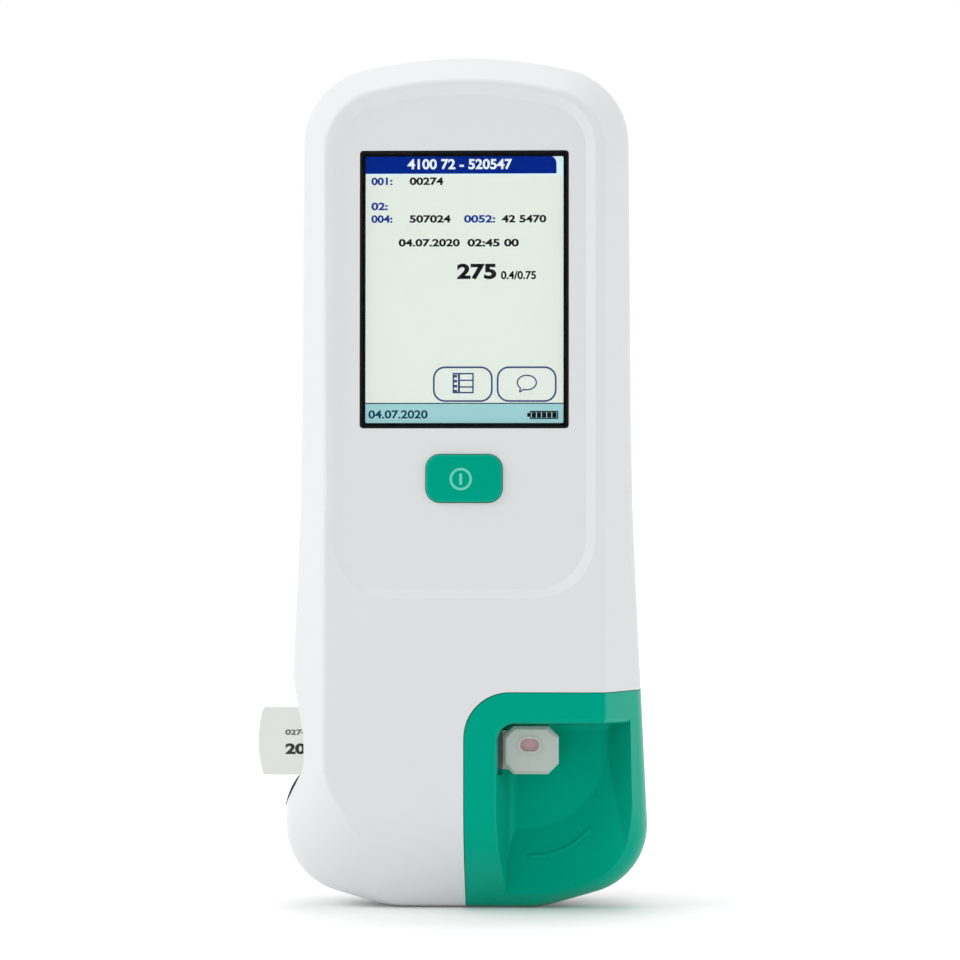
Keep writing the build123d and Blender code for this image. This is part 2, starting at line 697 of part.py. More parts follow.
def display_holder():
    """The tray that carries the display, on four posts from the main board."""
    far = LCD_FAR + HOLDER_BACK
    holder = face_plate(lcd_shape(HOLDER_WALL, HOLDER_CORNER), PANEL_DEPTH + WALL, far)
    holder -= face_plate(lcd_shape(FIT / 2, LCD_CORNER), 0, LCD_FAR)
    holder -= face_plate(lcd_shape(-HOLDER_RIM, HOLDER_RIM), 0, 2 * far)
    for x in (-1, 1):
        for z in (-1, 1):
            post_x = x * (LCD_WIDTH / 2 - HOLDER_POST_INSET)
            post_z = DISPLAY_Z + z * (LCD_HEIGHT / 2 - HOLDER_POST_INSET)
            start = face_y(post_z) + LCD_FAR + HOLDER_BACK / 2
            holder += rod_y(post_x, post_z, POST_RADIUS, (start, MAIN_BOARD_FRONT_Y))
    return holder


def flat_cable(path, width):
    """A flat cable along a path in the side view, in the middle of the case."""
    band = Plane.YZ * make_face(offset(path, RIBBON_THICKNESS / 2, side=Side.BOTH))
    return extrude(band, width / 2, both=True)


def display_ribbon():
    """The flat cable from the display's back to the main board."""
    low = DISPLAY_Z - LCD_HEIGHT / 2 + DISPLAY_RIBBON_START
    start = face_y(low) + LCD_FAR + RIBBON_THICKNESS
    end = MAIN_BOARD_FRONT_Y - RIBBON_THICKNESS / 2
    top = low + DISPLAY_RIBBON_REACH
    return flat_cable(
        FilletPolyline((start, low), (start + DISPLAY_RIBBON_OUT, low), (end, (low + top) / 2), (end, top),
                       radius=RIBBON_BEND),
        DISPLAY_RIBBON_WIDTH,
    )


# Power button and its switch

def power_button():
    flange_near = PANEL_DEPTH + WALL + SLIDE_FIT
    cap = face_plate(button_shape(0), 0, flange_near)
    rim = cap.faces().sort_by(Axis.Y)[0].outer_wire().edges()
    cap = fillet(rim, BUTTON_EDGE_RADIUS)
    cap += face_plate(button_shape(BUTTON_FLANGE), flange_near, flange_near + BUTTON_FLANGE_THICKNESS)
    plunger_y = MAIN_BOARD_FRONT_Y - SWITCH_HEIGHT - PLUNGER_HEIGHT
    stem_depth = plunger_y - face_y(BUTTON_Z) - BUTTON_TRAVEL - FIT / 2
    return cap + face_plate(Pos(0, BUTTON_Z) * Circle(BUTTON_STEM_RADIUS), flange_near, stem_depth)


def power_switch():
    front = MAIN_BOARD_FRONT_Y - SWITCH_HEIGHT
    body = block(about(0, SWITCH_BODY), (front, MAIN_BOARD_FRONT_Y), about(BUTTON_Z, SWITCH_BODY))
    return body + rod_y(0, BUTTON_Z, PLUNGER_RADIUS, (front - PLUNGER_HEIGHT, front))


# Main board and what is on it

def main_board():
    board = block((-MAIN_BOARD_HALF, MAIN_BOARD_HALF), (MAIN_BOARD_FRONT_Y, MAIN_BOARD_BACK_Y),
                  (MAIN_BOARD_LOW_Z, MAIN_BOARD_TOP_Z))
    board = fillet(board.edges().filter_by(Axis.Y), MAIN_BOARD_CORNER)
    for x, z in SCREWS:
        board -= rod_y(x, z, PILLAR_RADIUS + SLIDE_FIT, (-FAR, FAR))
    return board


def on_board(x, z, width, length, height):
    """A component on the back of the main board."""
    return block(about(x, width), (MAIN_BOARD_BACK_Y, MAIN_BOARD_BACK_Y + height), about(z, length))


def board_chips():
    return Compound([on_board(*chip) for chip in CHIPS])


def shield_can():
    x, z, width, length, height = SHIELD
    inner = on_board(x, z, width - 2 * SHIELD_WALL, length - 2 * SHIELD_WALL, height - SHIELD_WALL)
    return on_board(*SHIELD) - inner


def buzzer():
    back = MAIN_BOARD_BACK_Y + BUZZER_HEIGHT
    case = rod_y(BUZZER_X, BUZZER_Z, BUZZER_RADIUS, (MAIN_BOARD_BACK_Y, back))
    return case - rod_y(BUZZER_X, BUZZER_Z, BUZZER_HOLE_RADIUS, (back - BUZZER_HOLE_DEPTH, FAR))


def backup_cell():
    return rod_y(CELL_X, CELL_Z, CELL_RADIUS, (MAIN_BOARD_BACK_Y, MAIN_BOARD_BACK_Y + CELL_HEIGHT))


# Measuring chamber

def heater_place(grow=0.0):
    """The heater's place in the guide's front, against the strip."""
    near = STRIP_Y[0] - SLIDE_FIT
    return block((MEMBRANE_X[0] - HEATER_MARGIN - grow, MEMBRANE_X[1] + HEATER_MARGIN + grow),
                 (near - HEATER_THICKNESS - grow, near), about(STRIP_Z, 2 * HEATER_HALF + 2 * grow))


def heater_plate():
    return heater_place()


def strip_guide():
    """The channel that the strip slides into, with pegs to the board behind."""
    half = STRIP_WIDTH / 2 + SLIDE_FIT + GUIDE_WALL
    guide = block(GUIDE_X, GUIDE_Y, about(STRIP_Z, 2 * half))
    guide &= case_inside(WALL + SLIDE_FIT, WALL + PANEL_DEPTH + SLIDE_FIT)
    guide -= strip_passage((STRIP_INNER_X - SLIDE_FIT, FAR), STRIP_Y, STRIP_WIDTH)
    guide -= block(MEMBRANE_X, (STRIP_Y[1], FAR), about(STRIP_Z, OPTICS_SLOT_WIDTH))
    for x, side in GUIDE_PEGS:
        peg_z = STRIP_Z + side * (half + GUIDE_PEG_OUT)
        ear_z = sorted((STRIP_Z + side * half, peg_z))
        guide += block(about(x, 2 * GUIDE_PEG_RADIUS), (GUIDE_Y[1] - GUIDE_EAR, GUIDE_Y[1]), ear_z)
        guide += rod_y(x, peg_z, GUIDE_PEG_RADIUS, (GUIDE_Y[1] - GUIDE_EAR, MEASURING_BOARD_FRONT_Y))
    return guide - heater_place(FIT / 2)


def chamber_tray():
    """The plate behind the scoop, with the wall that the strip passes, a roof and pegs to the board."""
    front = SCOOP_FLOOR_Y + WALL + 2 * SLIDE_FIT
    back = front + TRAY_THICKNESS
    left = GUIDE_X[1] + SEAM
    top = COVER_TOP - TRAY_TOP_GAP
    tray = block((left, FAR), (front, back), (TRAY_LOW_Z, top))
    tray += block((left, left + TRAY_WALL), (TRAY_ROOF_Y, back), (TRAY_WALL_LOW_Z, top))
    tray += block((left, FAR), (TRAY_ROOF_Y, back), (top - TRAY_ROOF, top))
    tray &= case_inside(WALL + TRAY_CLEARANCE, WALL + PANEL_DEPTH + TRAY_CLEARANCE)
    for x, z in TRAY_PEGS:
        tray += rod_y(x, z, TRAY_PEG_RADIUS, (front, MEASURING_BOARD_FRONT_Y))
    return tray - strip_passage((left - WALL, left + TRAY_WALL + WALL), STRIP_Y, STRIP_WIDTH)


def optics_block():
    """The block on the guide's back that carries the camera and the lights over the strip's window."""
    body = block(OPTICS_X, OPTICS_Y, OPTICS_Z)
    body -= rod_y(LENS_X, STRIP_Z, LENS_RADIUS, (-FAR, FAR))
    body -= block((MEMBRANE_X[0] + OPTICS_SLOT_MARGIN, MEMBRANE_X[1] - OPTICS_SLOT_MARGIN),
                  (-FAR, OPTICS_Y[0] + OPTICS_SLOT_DEPTH), about(STRIP_Z, OPTICS_SLOT_WIDTH))
    for x in LIGHT_X:
        body -= rod_y(x, STRIP_Z, LIGHT_RADIUS, (-FAR, FAR))
    return body


def camera_board():
    return block((OPTICS_X[0], OPTICS_X[1] - CAMERA_BOARD_INSET),
                 (OPTICS_Y[1], OPTICS_Y[1] + CAMERA_BOARD_THICKNESS), OPTICS_Z)


def camera_lens():
    step = OPTICS_Y[1] - LENS_LENGTH
    barrel = rod_y(LENS_X, STRIP_Z, LENS_RADIUS, (step, OPTICS_Y[1]))
    return barrel + rod_y(LENS_X, STRIP_Z, LENS_RADIUS - LENS_STEP, (step - LENS_TIP, step))


def light_diodes():
    diodes = []
    for x in LIGHT_X:
        tip = OPTICS_Y[1] - LIGHT_LENGTH
        barrel = rod_y(x, STRIP_Z, LIGHT_RADIUS, (tip, OPTICS_Y[1]))
        diodes.append(barrel + Pos(x, tip, STRIP_Z) * Sphere(LIGHT_DOME_RADIUS))
    return Compound(diodes)


def strip_switch():
    """The small switch on the guide's back that the strip's inner end closes."""
    return block(STRIP_SWITCH_X, (GUIDE_Y[1], GUIDE_Y[1] + STRIP_SWITCH_HEIGHT),
                 about(STRIP_Z, STRIP_SWITCH_WIDTH))


# Code chip and its socket

def chip_passage(x):
    """The slot that the code chip slides through, open to the parting plane."""
    return block(x, (CHIP_Y[0] - SLIDE_FIT, WALL), (CHIP_LOW_Z - SLIDE_FIT, CHIP_TOP_Z + SLIDE_FIT))


def chip_socket():
    body = block(SOCKET_X, (CHIP_Y[0] - SOCKET_FRONT, MEASURING_BOARD_FRONT_Y),
                 (CHIP_LOW_Z - SOCKET_WALL, CHIP_TOP_Z + SOCKET_WALL))
    return body - block((-FAR, CHIP_INNER_X + SLIDE_FIT), (CHIP_Y[0] - FIT, CHIP_Y[1] + FIT),
                        (CHIP_LOW_Z - FIT, CHIP_TOP_Z + FIT))


def code_chip():
    """The flat chip, with a bowed outer edge."""
    top = (CHIP_OUT_X + CHIP_BOW, CHIP_TOP_Z)
    low = (CHIP_OUT_X + CHIP_BOW, CHIP_LOW_Z)
    bow = ThreePointArc(low, (CHIP_OUT_X, CHIP_MIDDLE_Z), top)
    sides = Polyline(top, (CHIP_INNER_X, CHIP_TOP_Z), (CHIP_INNER_X, CHIP_LOW_Z), low)
    chip = slab(make_face(Wire(bow.edges() + sides.edges())), CHIP_Y)
    return fillet(chip.edges().filter_by(Axis.Y).sort_by(Axis.X)[:2], CHIP_CORNER)


# Measuring board and the cable up to the main board

def measuring_board():
    board = block((MEASURING_BOARD_LEFT, MEASURING_BOARD_RIGHT),
                  (MEASURING_BOARD_FRONT_Y, MEASURING_BOARD_BACK_Y),
                  (MEASURING_BOARD_LOW_Z, MEASURING_BOARD_TOP_Z))
    board &= INSIDE
    for x, z in SCREWS:
        board -= rod_y(x, z, PILLAR_RADIUS + SLIDE_FIT, (-FAR, FAR))
    return board


def board_link():
    """The flat cable from the measuring board up to the main board."""
    lower = MEASURING_BOARD_FRONT_Y - RIBBON_THICKNESS / 2
    upper = MAIN_BOARD_BACK_Y + RIBBON_THICKNESS / 2
    return flat_cable(
        FilletPolyline((lower, MEASURING_BOARD_TOP_Z - LINK_LAP), (lower, MEASURING_BOARD_TOP_Z + LINK_RISE),
                       (upper, MAIN_BOARD_LOW_Z + LINK_START), (upper, MAIN_BOARD_LOW_Z + LINK_END),
                       radius=LINK_BEND),
        LINK_WIDTH,
    )


# Test strip

def test_strip():
    """A flat stem with a lead-in at its inner end, and an octagonal collar with the sample well."""
    half = STRIP_WIDTH / 2
    collar_middle = COLLAR_X + COLLAR_LENGTH / 2
    stem = closed([
        (STRIP_INNER_X, STRIP_Z - half + STRIP_LEAD_INSET, STRIP_NOSE_RADIUS),
        (STRIP_INNER_X + STRIP_LEAD, STRIP_Z - half, STRIP_LEAD_RADIUS),
        (collar_middle, STRIP_Z - half, 0),
        (collar_middle, STRIP_Z + half, 0),
        (STRIP_INNER_X + STRIP_LEAD, STRIP_Z + half, STRIP_LEAD_RADIUS),
        (STRIP_INNER_X, STRIP_Z + half - STRIP_LEAD_INSET, STRIP_NOSE_RADIUS),
    ])
    plate = Rectangle(COLLAR_LENGTH, COLLAR_WIDTH)
    collar = slab(Pos(collar_middle, STRIP_Z) * chamfer(plate.vertices(), COLLAR_CORNER), COLLAR_Y)
    collar = chamfer(collar.faces().sort_by(Axis.Y)[0].edges(), COLLAR_BEVEL)
    well = Pos(WELL_X, WELL_Z) * SlotOverall(WELL_LENGTH, WELL_WIDTH)
    lip = Pos(WELL_X, WELL_Z) * SlotOverall(WELL_LENGTH + 2 * WELL_LIP, WELL_WIDTH + 2 * WELL_LIP)
    strip = slab(stem, STRIP_Y) + collar + slab(lip, (COLLAR_Y[0] - WELL_LIP_HEIGHT, COLLAR_Y[0]))
    strip -= slab(well, (-FAR, COLLAR_Y[0] + WELL_DEPTH))
    return strip - block(MEMBRANE_X, (STRIP_Y[1] - MEMBRANE_DEPTH, FAR), about(STRIP_Z, MEMBRANE_WIDTH))


def sample_pad():
    pad = Pos(WELL_X, WELL_Z) * SlotOverall(WELL_LENGTH, WELL_WIDTH)
    bottom = COLLAR_Y[0] + WELL_DEPTH
    return slab(pad, (bottom - PAD_THICKNESS, bottom))


def strip_membrane():
    bottom = STRIP_Y[1] - MEMBRANE_DEPTH
    return block(MEMBRANE_X, (bottom, bottom + MEMBRANE_THICKNESS), about(STRIP_Z, MEMBRANE_WIDTH))


# Back

def hatch_zone(gap, y):
    """The prism of the back that belongs to the battery cover, drawn in by gap."""
    middle = (HATCH_LOW_Z + HATCH_TOP_Z) / 2
    height = HATCH_TOP_Z - HATCH_LOW_Z - 2 * gap
    return slab(Pos(0, middle) * RectangleRounded(2 * (HATCH_HALF - gap), height, HATCH_CORNER), y)


def back_pad_plane(x, z):
    """The plane on the back's outer face at a point."""
    tilt = math.radians(BACK_TILT_DEG) if z > BACK_BEND_Z else 0.0
    return Plane(origin=(x, back_y(z), z), x_dir=(1, 0, 0), z_dir=(0, math.cos(tilt), math.sin(tilt)))


def rear_cover():
    cover = NOTCHED_SHELL & BACK_HALF
    cover -= hatch_zone(0, (BATTERY_Y[1], FAR))
    ledge_space = case_inside(WALL + LEDGE_THICKNESS, WALL + PANEL_DEPTH)
    cover += (INSIDE - ledge_space) & hatch_zone(-LEDGE_WIDTH, (BATTERY_Y[1] / 2, FAR))
    well = block((-CAVITY_HALF - WELL_WALL, CAVITY_HALF + WELL_WALL), (0, FAR),
                 (CAVITY_Z[0] - WELL_WALL, CAVITY_Z[1] + WELL_WALL))
    cover += well & INSIDE
    cover -= block((-CAVITY_HALF, CAVITY_HALF), (WELL_FLOOR, FAR), CAVITY_Z)
    for x, z in SCREWS:
        cover += rod_y(x, z, PILLAR_RADIUS, (0, FAR)) & OUTSIDE
        cover -= rod_y(x, z, SCREW_RADIUS + FIT, (-FAR, FAR))
        cover -= rod_y(x, z, SCREW_HEAD_RADIUS + FIT, (SCREW_SEAT_Y, FAR))
    for x in RIB_X:
        cover += block(about(x, RIB_THICKNESS), (MEASURING_BOARD_BACK_Y, FAR), RIB_Z) & INSIDE
    for x, z in FEET:
        cover -= extrude(back_pad_plane(x, z).offset(-FOOT_RECESS) * Circle(FOOT_RADIUS + FIT), OVERSHOOT)
    for i in range(SLOTS):
        slot = Pos(0, SLOT_LOW_Z + i * SLOT_PITCH) * SlotOverall(SLOT_LENGTH, SLOT_WIDTH)
        cover -= slab(slot, (BATTERY_Y[1] / 2, FAR))
    cover -= Pos(JACK_X, CONNECTOR_Y, 0) * Cylinder(JACK_RADIUS + FIT, 2 * (WALL + FIT))
    cover -= block(about(DOCK_X, DOCK_LENGTH + 2 * FIT), about(CONNECTOR_Y, DOCK_WIDTH + 2 * FIT),
                   (-WALL, 2 * WALL))
    return cover - window_place(FIT / 2)


def window_place(grow=0.0):
    """The prism of the infrared window, through the top wall."""
    return block(about(0, WINDOW_LENGTH + 2 * grow), about(WINDOW_Y, WINDOW_WIDTH + 2 * grow),
                 (HEIGHT - WINDOW_REACH, HEIGHT + WINDOW_REACH))


def infrared_window():
    flange = block(about(0, WINDOW_LENGTH + 2 * WINDOW_FLANGE),
                   about(WINDOW_Y, WINDOW_WIDTH + 2 * WINDOW_FLANGE), WINDOW_FLANGE_Z)
    return (window_place() & SHELL) + (flange & INSIDE)


def battery_cover():
    cover = SHELL & hatch_zone(FIT, (BATTERY_Y[1], FAR))
    for i in range(GRIP_GROOVES):
        z = GRIP_Z + i * GRIP_PITCH
        cover -= Pos(0, back_y(z) + GRIP_LIFT, z) * Rot(0, 90, 0) * Cylinder(GRIP_RADIUS, GRIP_LENGTH)
    return cover


def battery_pack():
    pack = block((-BATTERY_HALF, BATTERY_HALF), BATTERY_Y, BATTERY_Z)
    return fillet(pack.edges().filter_by(Axis.Z), BATTERY_EDGE_RADIUS)


def battery_contacts():
    blade_z = (CAVITY_Z[0], CAVITY_Z[0] + CONTACT_GAP - FIT / 2)
    return Compound([block(about(x, CONTACT_WIDTH), CONTACT_Y, blade_z) for x in CONTACT_X])


def rubber_foot(x, z):
    foot = extrude(back_pad_plane(x, z).offset(-FOOT_RECESS) * Circle(FOOT_RADIUS), FOOT_HEIGHT)
    return fillet(foot.faces().sort_by(Axis.Y)[-1].outer_wire().edges(), FOOT_EDGE_RADIUS)


def case_screws():
    screws = []
    for x, z in SCREWS:
        shank = rod_y(x, z, SCREW_RADIUS, (-SCREW_DEPTH, SCREW_SEAT_Y))
        head = rod_y(x, z, SCREW_HEAD_RADIUS, (SCREW_SEAT_Y, SCREW_SEAT_Y + SCREW_HEAD_HEIGHT))
        screws.append(shank + head)
    return Compound(screws)


# Connectors in the base

def power_jack():
    """The charging socket: a body with a round bore and a pin in its middle."""
    body = block(about(JACK_X, JACK_BODY), about(CONNECTOR_Y + JACK_LIFT, JACK_BODY), JACK_Z)
    depth = JACK_LENGTH - JACK_END
    bore = Pos(JACK_X, CONNECTOR_Y, JACK_Z[0] + depth / 2) * Cylinder(JACK_RADIUS, depth)
    pin_length = JACK_LENGTH - JACK_PIN_RECESS - JACK_END / 2
    pin_middle = JACK_Z[0] + JACK_PIN_RECESS + pin_length / 2
    return body - bore + Pos(JACK_X, CONNECTOR_Y, pin_middle) * Cylinder(JACK_PIN_RADIUS, pin_length)


def dock_contacts():
    """The carrier of the charging pins, flush with the base."""
    carrier = block(about(DOCK_X, DOCK_LENGTH), about(CONNECTOR_Y, DOCK_WIDTH), DOCK_Z)
    for i in range(DOCK_PINS):
        x = DOCK_X + (i - (DOCK_PINS - 1) / 2) * DOCK_PITCH
        carrier += Pos(x, CONNECTOR_Y, DOCK_PIN_Z) * Cylinder(DOCK_PIN_RADIUS, DOCK_PIN_LENGTH)
    return carrier


# Output

def write(name, solid):
    export_step(solid, f"parts/{name}.step")


write("front_cover", front_cover())
write("rear_cover", rear_cover())
write("measuring_cover", measuring_cover())
write("display_gasket", display_gasket())
write("touch_panel", touch_panel())
write("lcd_module", lcd_module())
write("display_holder", display_holder())
write("display_ribbon", display_ribbon())
write("power_button", power_button())
write("power_switch", power_switch())
write("main_board", main_board())
write("board_chips", board_chips())
write("shield_can", shield_can())
write("buzzer", buzzer())
write("backup_cell", backup_cell())
write("strip_guide", strip_guide())
write("heater_plate", heater_plate())
write("chamber_tray", chamber_tray())
write("optics_block", optics_block())
write("camera_board", camera_board())
write("camera_lens", camera_lens())
write("light_diodes", light_diodes())
write("strip_switch", strip_switch())
write("chip_socket", chip_socket())
write("code_chip", code_chip())
write("measuring_board", measuring_board())
write("board_link", board_link())
write("test_strip", test_strip())
write("sample_pad", sample_pad())
write("strip_membrane", strip_membrane())
write("battery_cover", battery_cover())
write("battery_pack", battery_pack())
write("battery_contacts", battery_contacts())
write("case_screws", case_screws())
write("power_jack", power_jack())
write("dock_contacts", dock_contacts())
write("infrared_window", infrared_window())
for number, (x, z) in enumerate(FEET, 1):
    write(f"rubber_foot_{number}", rubber_foot(x, z))
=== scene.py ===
import math

import bpy
from mathutils import Matrix, Vector


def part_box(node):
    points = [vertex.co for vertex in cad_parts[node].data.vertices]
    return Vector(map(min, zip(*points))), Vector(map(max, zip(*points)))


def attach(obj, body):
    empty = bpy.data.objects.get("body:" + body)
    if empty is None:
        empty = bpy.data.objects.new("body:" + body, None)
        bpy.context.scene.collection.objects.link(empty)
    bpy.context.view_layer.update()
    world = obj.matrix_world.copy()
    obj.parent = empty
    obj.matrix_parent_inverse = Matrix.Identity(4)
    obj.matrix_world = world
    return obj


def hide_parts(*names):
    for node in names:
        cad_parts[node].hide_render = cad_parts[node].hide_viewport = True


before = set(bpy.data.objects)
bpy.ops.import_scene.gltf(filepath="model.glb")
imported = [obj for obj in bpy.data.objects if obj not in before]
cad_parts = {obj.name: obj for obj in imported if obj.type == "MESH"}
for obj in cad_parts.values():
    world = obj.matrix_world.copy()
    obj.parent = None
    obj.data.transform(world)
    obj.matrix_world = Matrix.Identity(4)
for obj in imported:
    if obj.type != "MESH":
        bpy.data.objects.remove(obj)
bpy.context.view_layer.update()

# Handheld immunoassay analyzer, standing on its base: case halves, display, power button,
# green measuring cover with its scoop, test strip, code chip, boards, battery and its cover.

# Studio: a pale floor under soft, even light, and the camera level with the middle of the case. A dark
# card stands behind the camera, as in a product studio, so that glossy plastic keeps its colour. It shows
# only mirrored or through glass: the camera and the light pass through it.
MM = 0.001
SCALE_PX_PER_MM = 3.458
FRAME_PX = 960
AXIS_PX = 467
EYE_DISTANCE = 1.1
EYE_HEIGHT = 0.1228
EYE_TURN = math.radians(2.0)
SENSOR_MM = 36.0
AMBIENT = 0.63
FLOOR_SIZE = 60.0
FLOOR_DROP = 0.1 * MM
FLOOR_MOTTLE = 1 / 3
# The floor's lift towards white, near the object and away from it, and the distances that it grows between.
FLOOR_LIFT_NEAR = 0.07
FLOOR_LIFT_FAR = 0.55
LIFT_FROM = 0.045
LIFT_TO = 0.16
CARD_PLACE = (0.0, -1.7, 0.35)
CARD_SIZE = (2.4, 1.8, 1.0)
CARD_NAP = 2.5 * MM


def linear(colour):
    """An sRGB hex colour as linear red, green, blue and alpha."""
    parts = [int(colour[i:i + 2], 16) / 255 for i in (1, 3, 5)]
    return [p / 12.92 if p <= 0.04045 else ((p + 0.055) / 1.055) ** 2.4 for p in parts] + [1.0]


def node(tree, kind, inputs=None, **settings):
    """Adds a shader node with its settings, and its inputs as plain values or as links."""
    new = tree.nodes.new(kind)
    for name, value in settings.items():
        setattr(new, name, value)
    for name, value in (inputs or {}).items():
        if isinstance(value, bpy.types.NodeSocket):
            tree.links.new(value, new.inputs[name])
        else:
            new.inputs[name].default_value = value
    return new


def blank_material(name):
    """A new material with its node tree, its shader and the place on the piece."""
    made = bpy.data.materials.new(name)
    made.use_nodes = True
    tree = made.node_tree
    return made, tree, tree.nodes["Principled BSDF"], node(tree, "ShaderNodeTexCoord").outputs["Object"]


def seen(tree):
    """1 for a ray from the camera, off a gloss or through glass, and 0 for light that falls on things."""
    path = node(tree, "ShaderNodeLightPath")
    mirrored = node(tree, "ShaderNodeMath", {
        0: path.outputs["Is Camera Ray"], 1: path.outputs["Is Glossy Ray"]}, operation="MAXIMUM")
    return node(tree, "ShaderNodeMath", {
        0: mirrored.outputs[0], 1: path.outputs["Is Transmission Ray"]}, operation="MAXIMUM").outputs[0]


def select_only(*objects):
    """Deselects everything else and makes the first object active."""
    bpy.ops.object.select_all(action="DESELECT")
    for each in objects:
        each.select_set(True)
    bpy.context.view_layer.objects.active = objects[0]


bpy.ops.object.select_all(action="DESELECT")
bpy.context.scene.view_settings.view_transform = "Standard"

aim = Vector(((FRAME_PX / 2 - AXIS_PX) / SCALE_PX_PER_MM * MM, 0.0, EYE_HEIGHT))
bpy.ops.object.camera_add(
    location=aim + EYE_DISTANCE * Vector((math.sin(EYE_TURN), -math.cos(EYE_TURN), 0.0)),
    rotation=(math.pi / 2, 0.0, EYE_TURN),
)
camera = bpy.context.object
camera.data.lens = SCALE_PX_PER_MM * EYE_DISTANCE / MM * SENSOR_MM / FRAME_PX
camera.data.sensor_width = SENSOR_MM
bpy.context.scene.camera = camera

world = bpy.data.worlds.new("studio_world")
world.use_nodes = True
bpy.context.scene.world = world
sky = world.node_tree
sky.nodes.clear()
level = node(sky, "ShaderNodeMapRange", {"Value": seen(sky), "To Min": AMBIENT, "To Max": 1.0})
light = node(sky, "ShaderNodeBackground", {"Color": linear("#FFFFFF"), "Strength": level.outputs[0]})
node(sky, "ShaderNodeOutputWorld", {"Surface": light.outputs[0]})

# Soft boxes as (name, place, size, energy): the key on the left, a fill on the right and one overhead.
SOFT_BOXES = [
    ("key_light", (-1.3, -0.45, 1.0), 1.0, 8.2),
    ("fill_light", (1.4, -0.6, 0.5), 1.0, 2.8),
    ("top_light", (0.1, 0.3, 1.6), 1.2, 5.0),
]
for name, place, size, energy in SOFT_BOXES:
    bpy.ops.object.light_add(type="AREA", location=place)
    lamp = bpy.context.object
    lamp.name = name
    lamp.rotation_euler = (Vector((0, 0, EYE_HEIGHT)) - lamp.location).to_track_quat("-Z", "Y").to_euler()
    lamp.data.size = size
    lamp.data.energy = energy

bpy.ops.mesh.primitive_plane_add(size=FLOOR_SIZE, location=(0.0, 0.0, -FLOOR_DROP))
floor = bpy.context.object
floor.name = "studio_floor"
# Matt white lacquer: a faint mottle in its colour. Where it is seen it is lifted to the white of the
# background, least of all near the object, so that the shadow at its foot still shows.
floor_paint, tree, shader, place = blank_material("matt_white_floor")
mottle = node(tree, "ShaderNodeTexNoise", {"Vector": place, "Scale": 1 / FLOOR_MOTTLE, "Detail": 3.0})
tint = node(tree, "ShaderNodeMix", {
    "Factor": mottle.outputs["Fac"], "A": linear("#FBFBFB"), "B": linear("#FDFDFD")}, data_type="RGBA")
shown = seen(tree)
away = node(tree, "ShaderNodeVectorMath", {0: place}, operation="LENGTH")
near = node(tree, "ShaderNodeMapRange", {
    "Value": away.outputs["Value"], "From Min": LIFT_FROM, "From Max": LIFT_TO,
    "To Min": FLOOR_LIFT_NEAR, "To Max": FLOOR_LIFT_FAR})
lift = node(tree, "ShaderNodeMath", {0: shown, 1: near.outputs[0]}, operation="MULTIPLY")
tree.links.new(tint.outputs["Result"], shader.inputs["Base Color"])
tree.links.new(lift.outputs[0], shader.inputs["Emission Strength"])
shader.inputs["Emission Color"].default_value = linear("#FFFFFF")
shader.inputs["Roughness"].default_value = 1.0
shader.inputs["Specular IOR Level"].default_value = 0.0
floor.data.materials.append(floor_paint)

bpy.ops.mesh.primitive_plane_add(size=1.0, location=CARD_PLACE, rotation=(math.pi / 2, 0, 0))
card = bpy.context.object
card.name = "studio_card"
card.scale = CARD_SIZE
select_only(card)
bpy.ops.object.transform_apply(location=False, rotation=False, scale=True)
# Black felt: dead matt, with a faint nap.
card_felt, tree, shader, place = blank_material("dark_felt_card")
nap = node(tree, "ShaderNodeTexNoise", {"Vector": place, "Scale": 1 / CARD_NAP})
tint = node(tree, "ShaderNodeMix", {
    "Factor": nap.outputs["Fac"], "A": linear("#141414"), "B": linear("#1E1E1E")}, data_type="RGBA")
tree.links.new(tint.outputs["Result"], shader.inputs["Base Color"])
shader.inputs["Roughness"].default_value = 1.0
card.data.materials.append(card_felt)
card.visible_camera = False
card.visible_diffuse = False
card.visible_shadow = False


# Case halves and battery cover: injection-moulded white ABS, about 2 mm thick, pulled straight from the
# mould, with a fine spark-eroded grain. The halves are screwed together from the back, and the cover clips
# into its opening.
ABS_GRAIN = 0.45 * MM
ABS_FLOW = 30 * MM
PLASTIC_IOR = 1.53
SHINE_SPREAD = 0.06


def moulded(name, dark, pale, grain, depth, roughness, flow=ABS_FLOW, own=None):
    """Moulded plastic: a faint drift of shade where the melt flowed, and an even grain from the mould.

    What one plastic has of its own is a value on a socket of its shader.
    """
    made, tree, shader, place = blank_material(name)
    drift = node(tree, "ShaderNodeTexNoise", {"Vector": place, "Scale": 1 / flow, "Detail": 2.0})
    tint = node(tree, "ShaderNodeMix", {
        "Factor": drift.outputs["Fac"], "A": linear(dark), "B": linear(pale)}, data_type="RGBA")
    pits = node(tree, "ShaderNodeTexNoise", {
        "Vector": place, "Scale": 1 / grain, "Detail": 3.0, "Roughness": 0.6})
    shine = node(tree, "ShaderNodeMapRange", {
        "Value": pits.outputs["Fac"],
        "To Min": roughness - SHINE_SPREAD, "To Max": roughness + SHINE_SPREAD})
    relief = node(tree, "ShaderNodeBump", {
        "Height": pits.outputs["Fac"], "Distance": depth, "Strength": 0.6})
    tree.links.new(tint.outputs["Result"], shader.inputs["Base Color"])
    tree.links.new(shine.outputs[0], shader.inputs["Roughness"])
    tree.links.new(relief.outputs[0], shader.inputs["Normal"])
    for socket, value in {"IOR": PLASTIC_IOR, **(own or {})}.items():
        shader.inputs[socket].default_value = value
    return made


def finish_node(made, *names):
    """Gives nodes of the frame their material."""
    for name in names:
        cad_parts[name].data.materials.clear()
        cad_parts[name].data.materials.append(made)


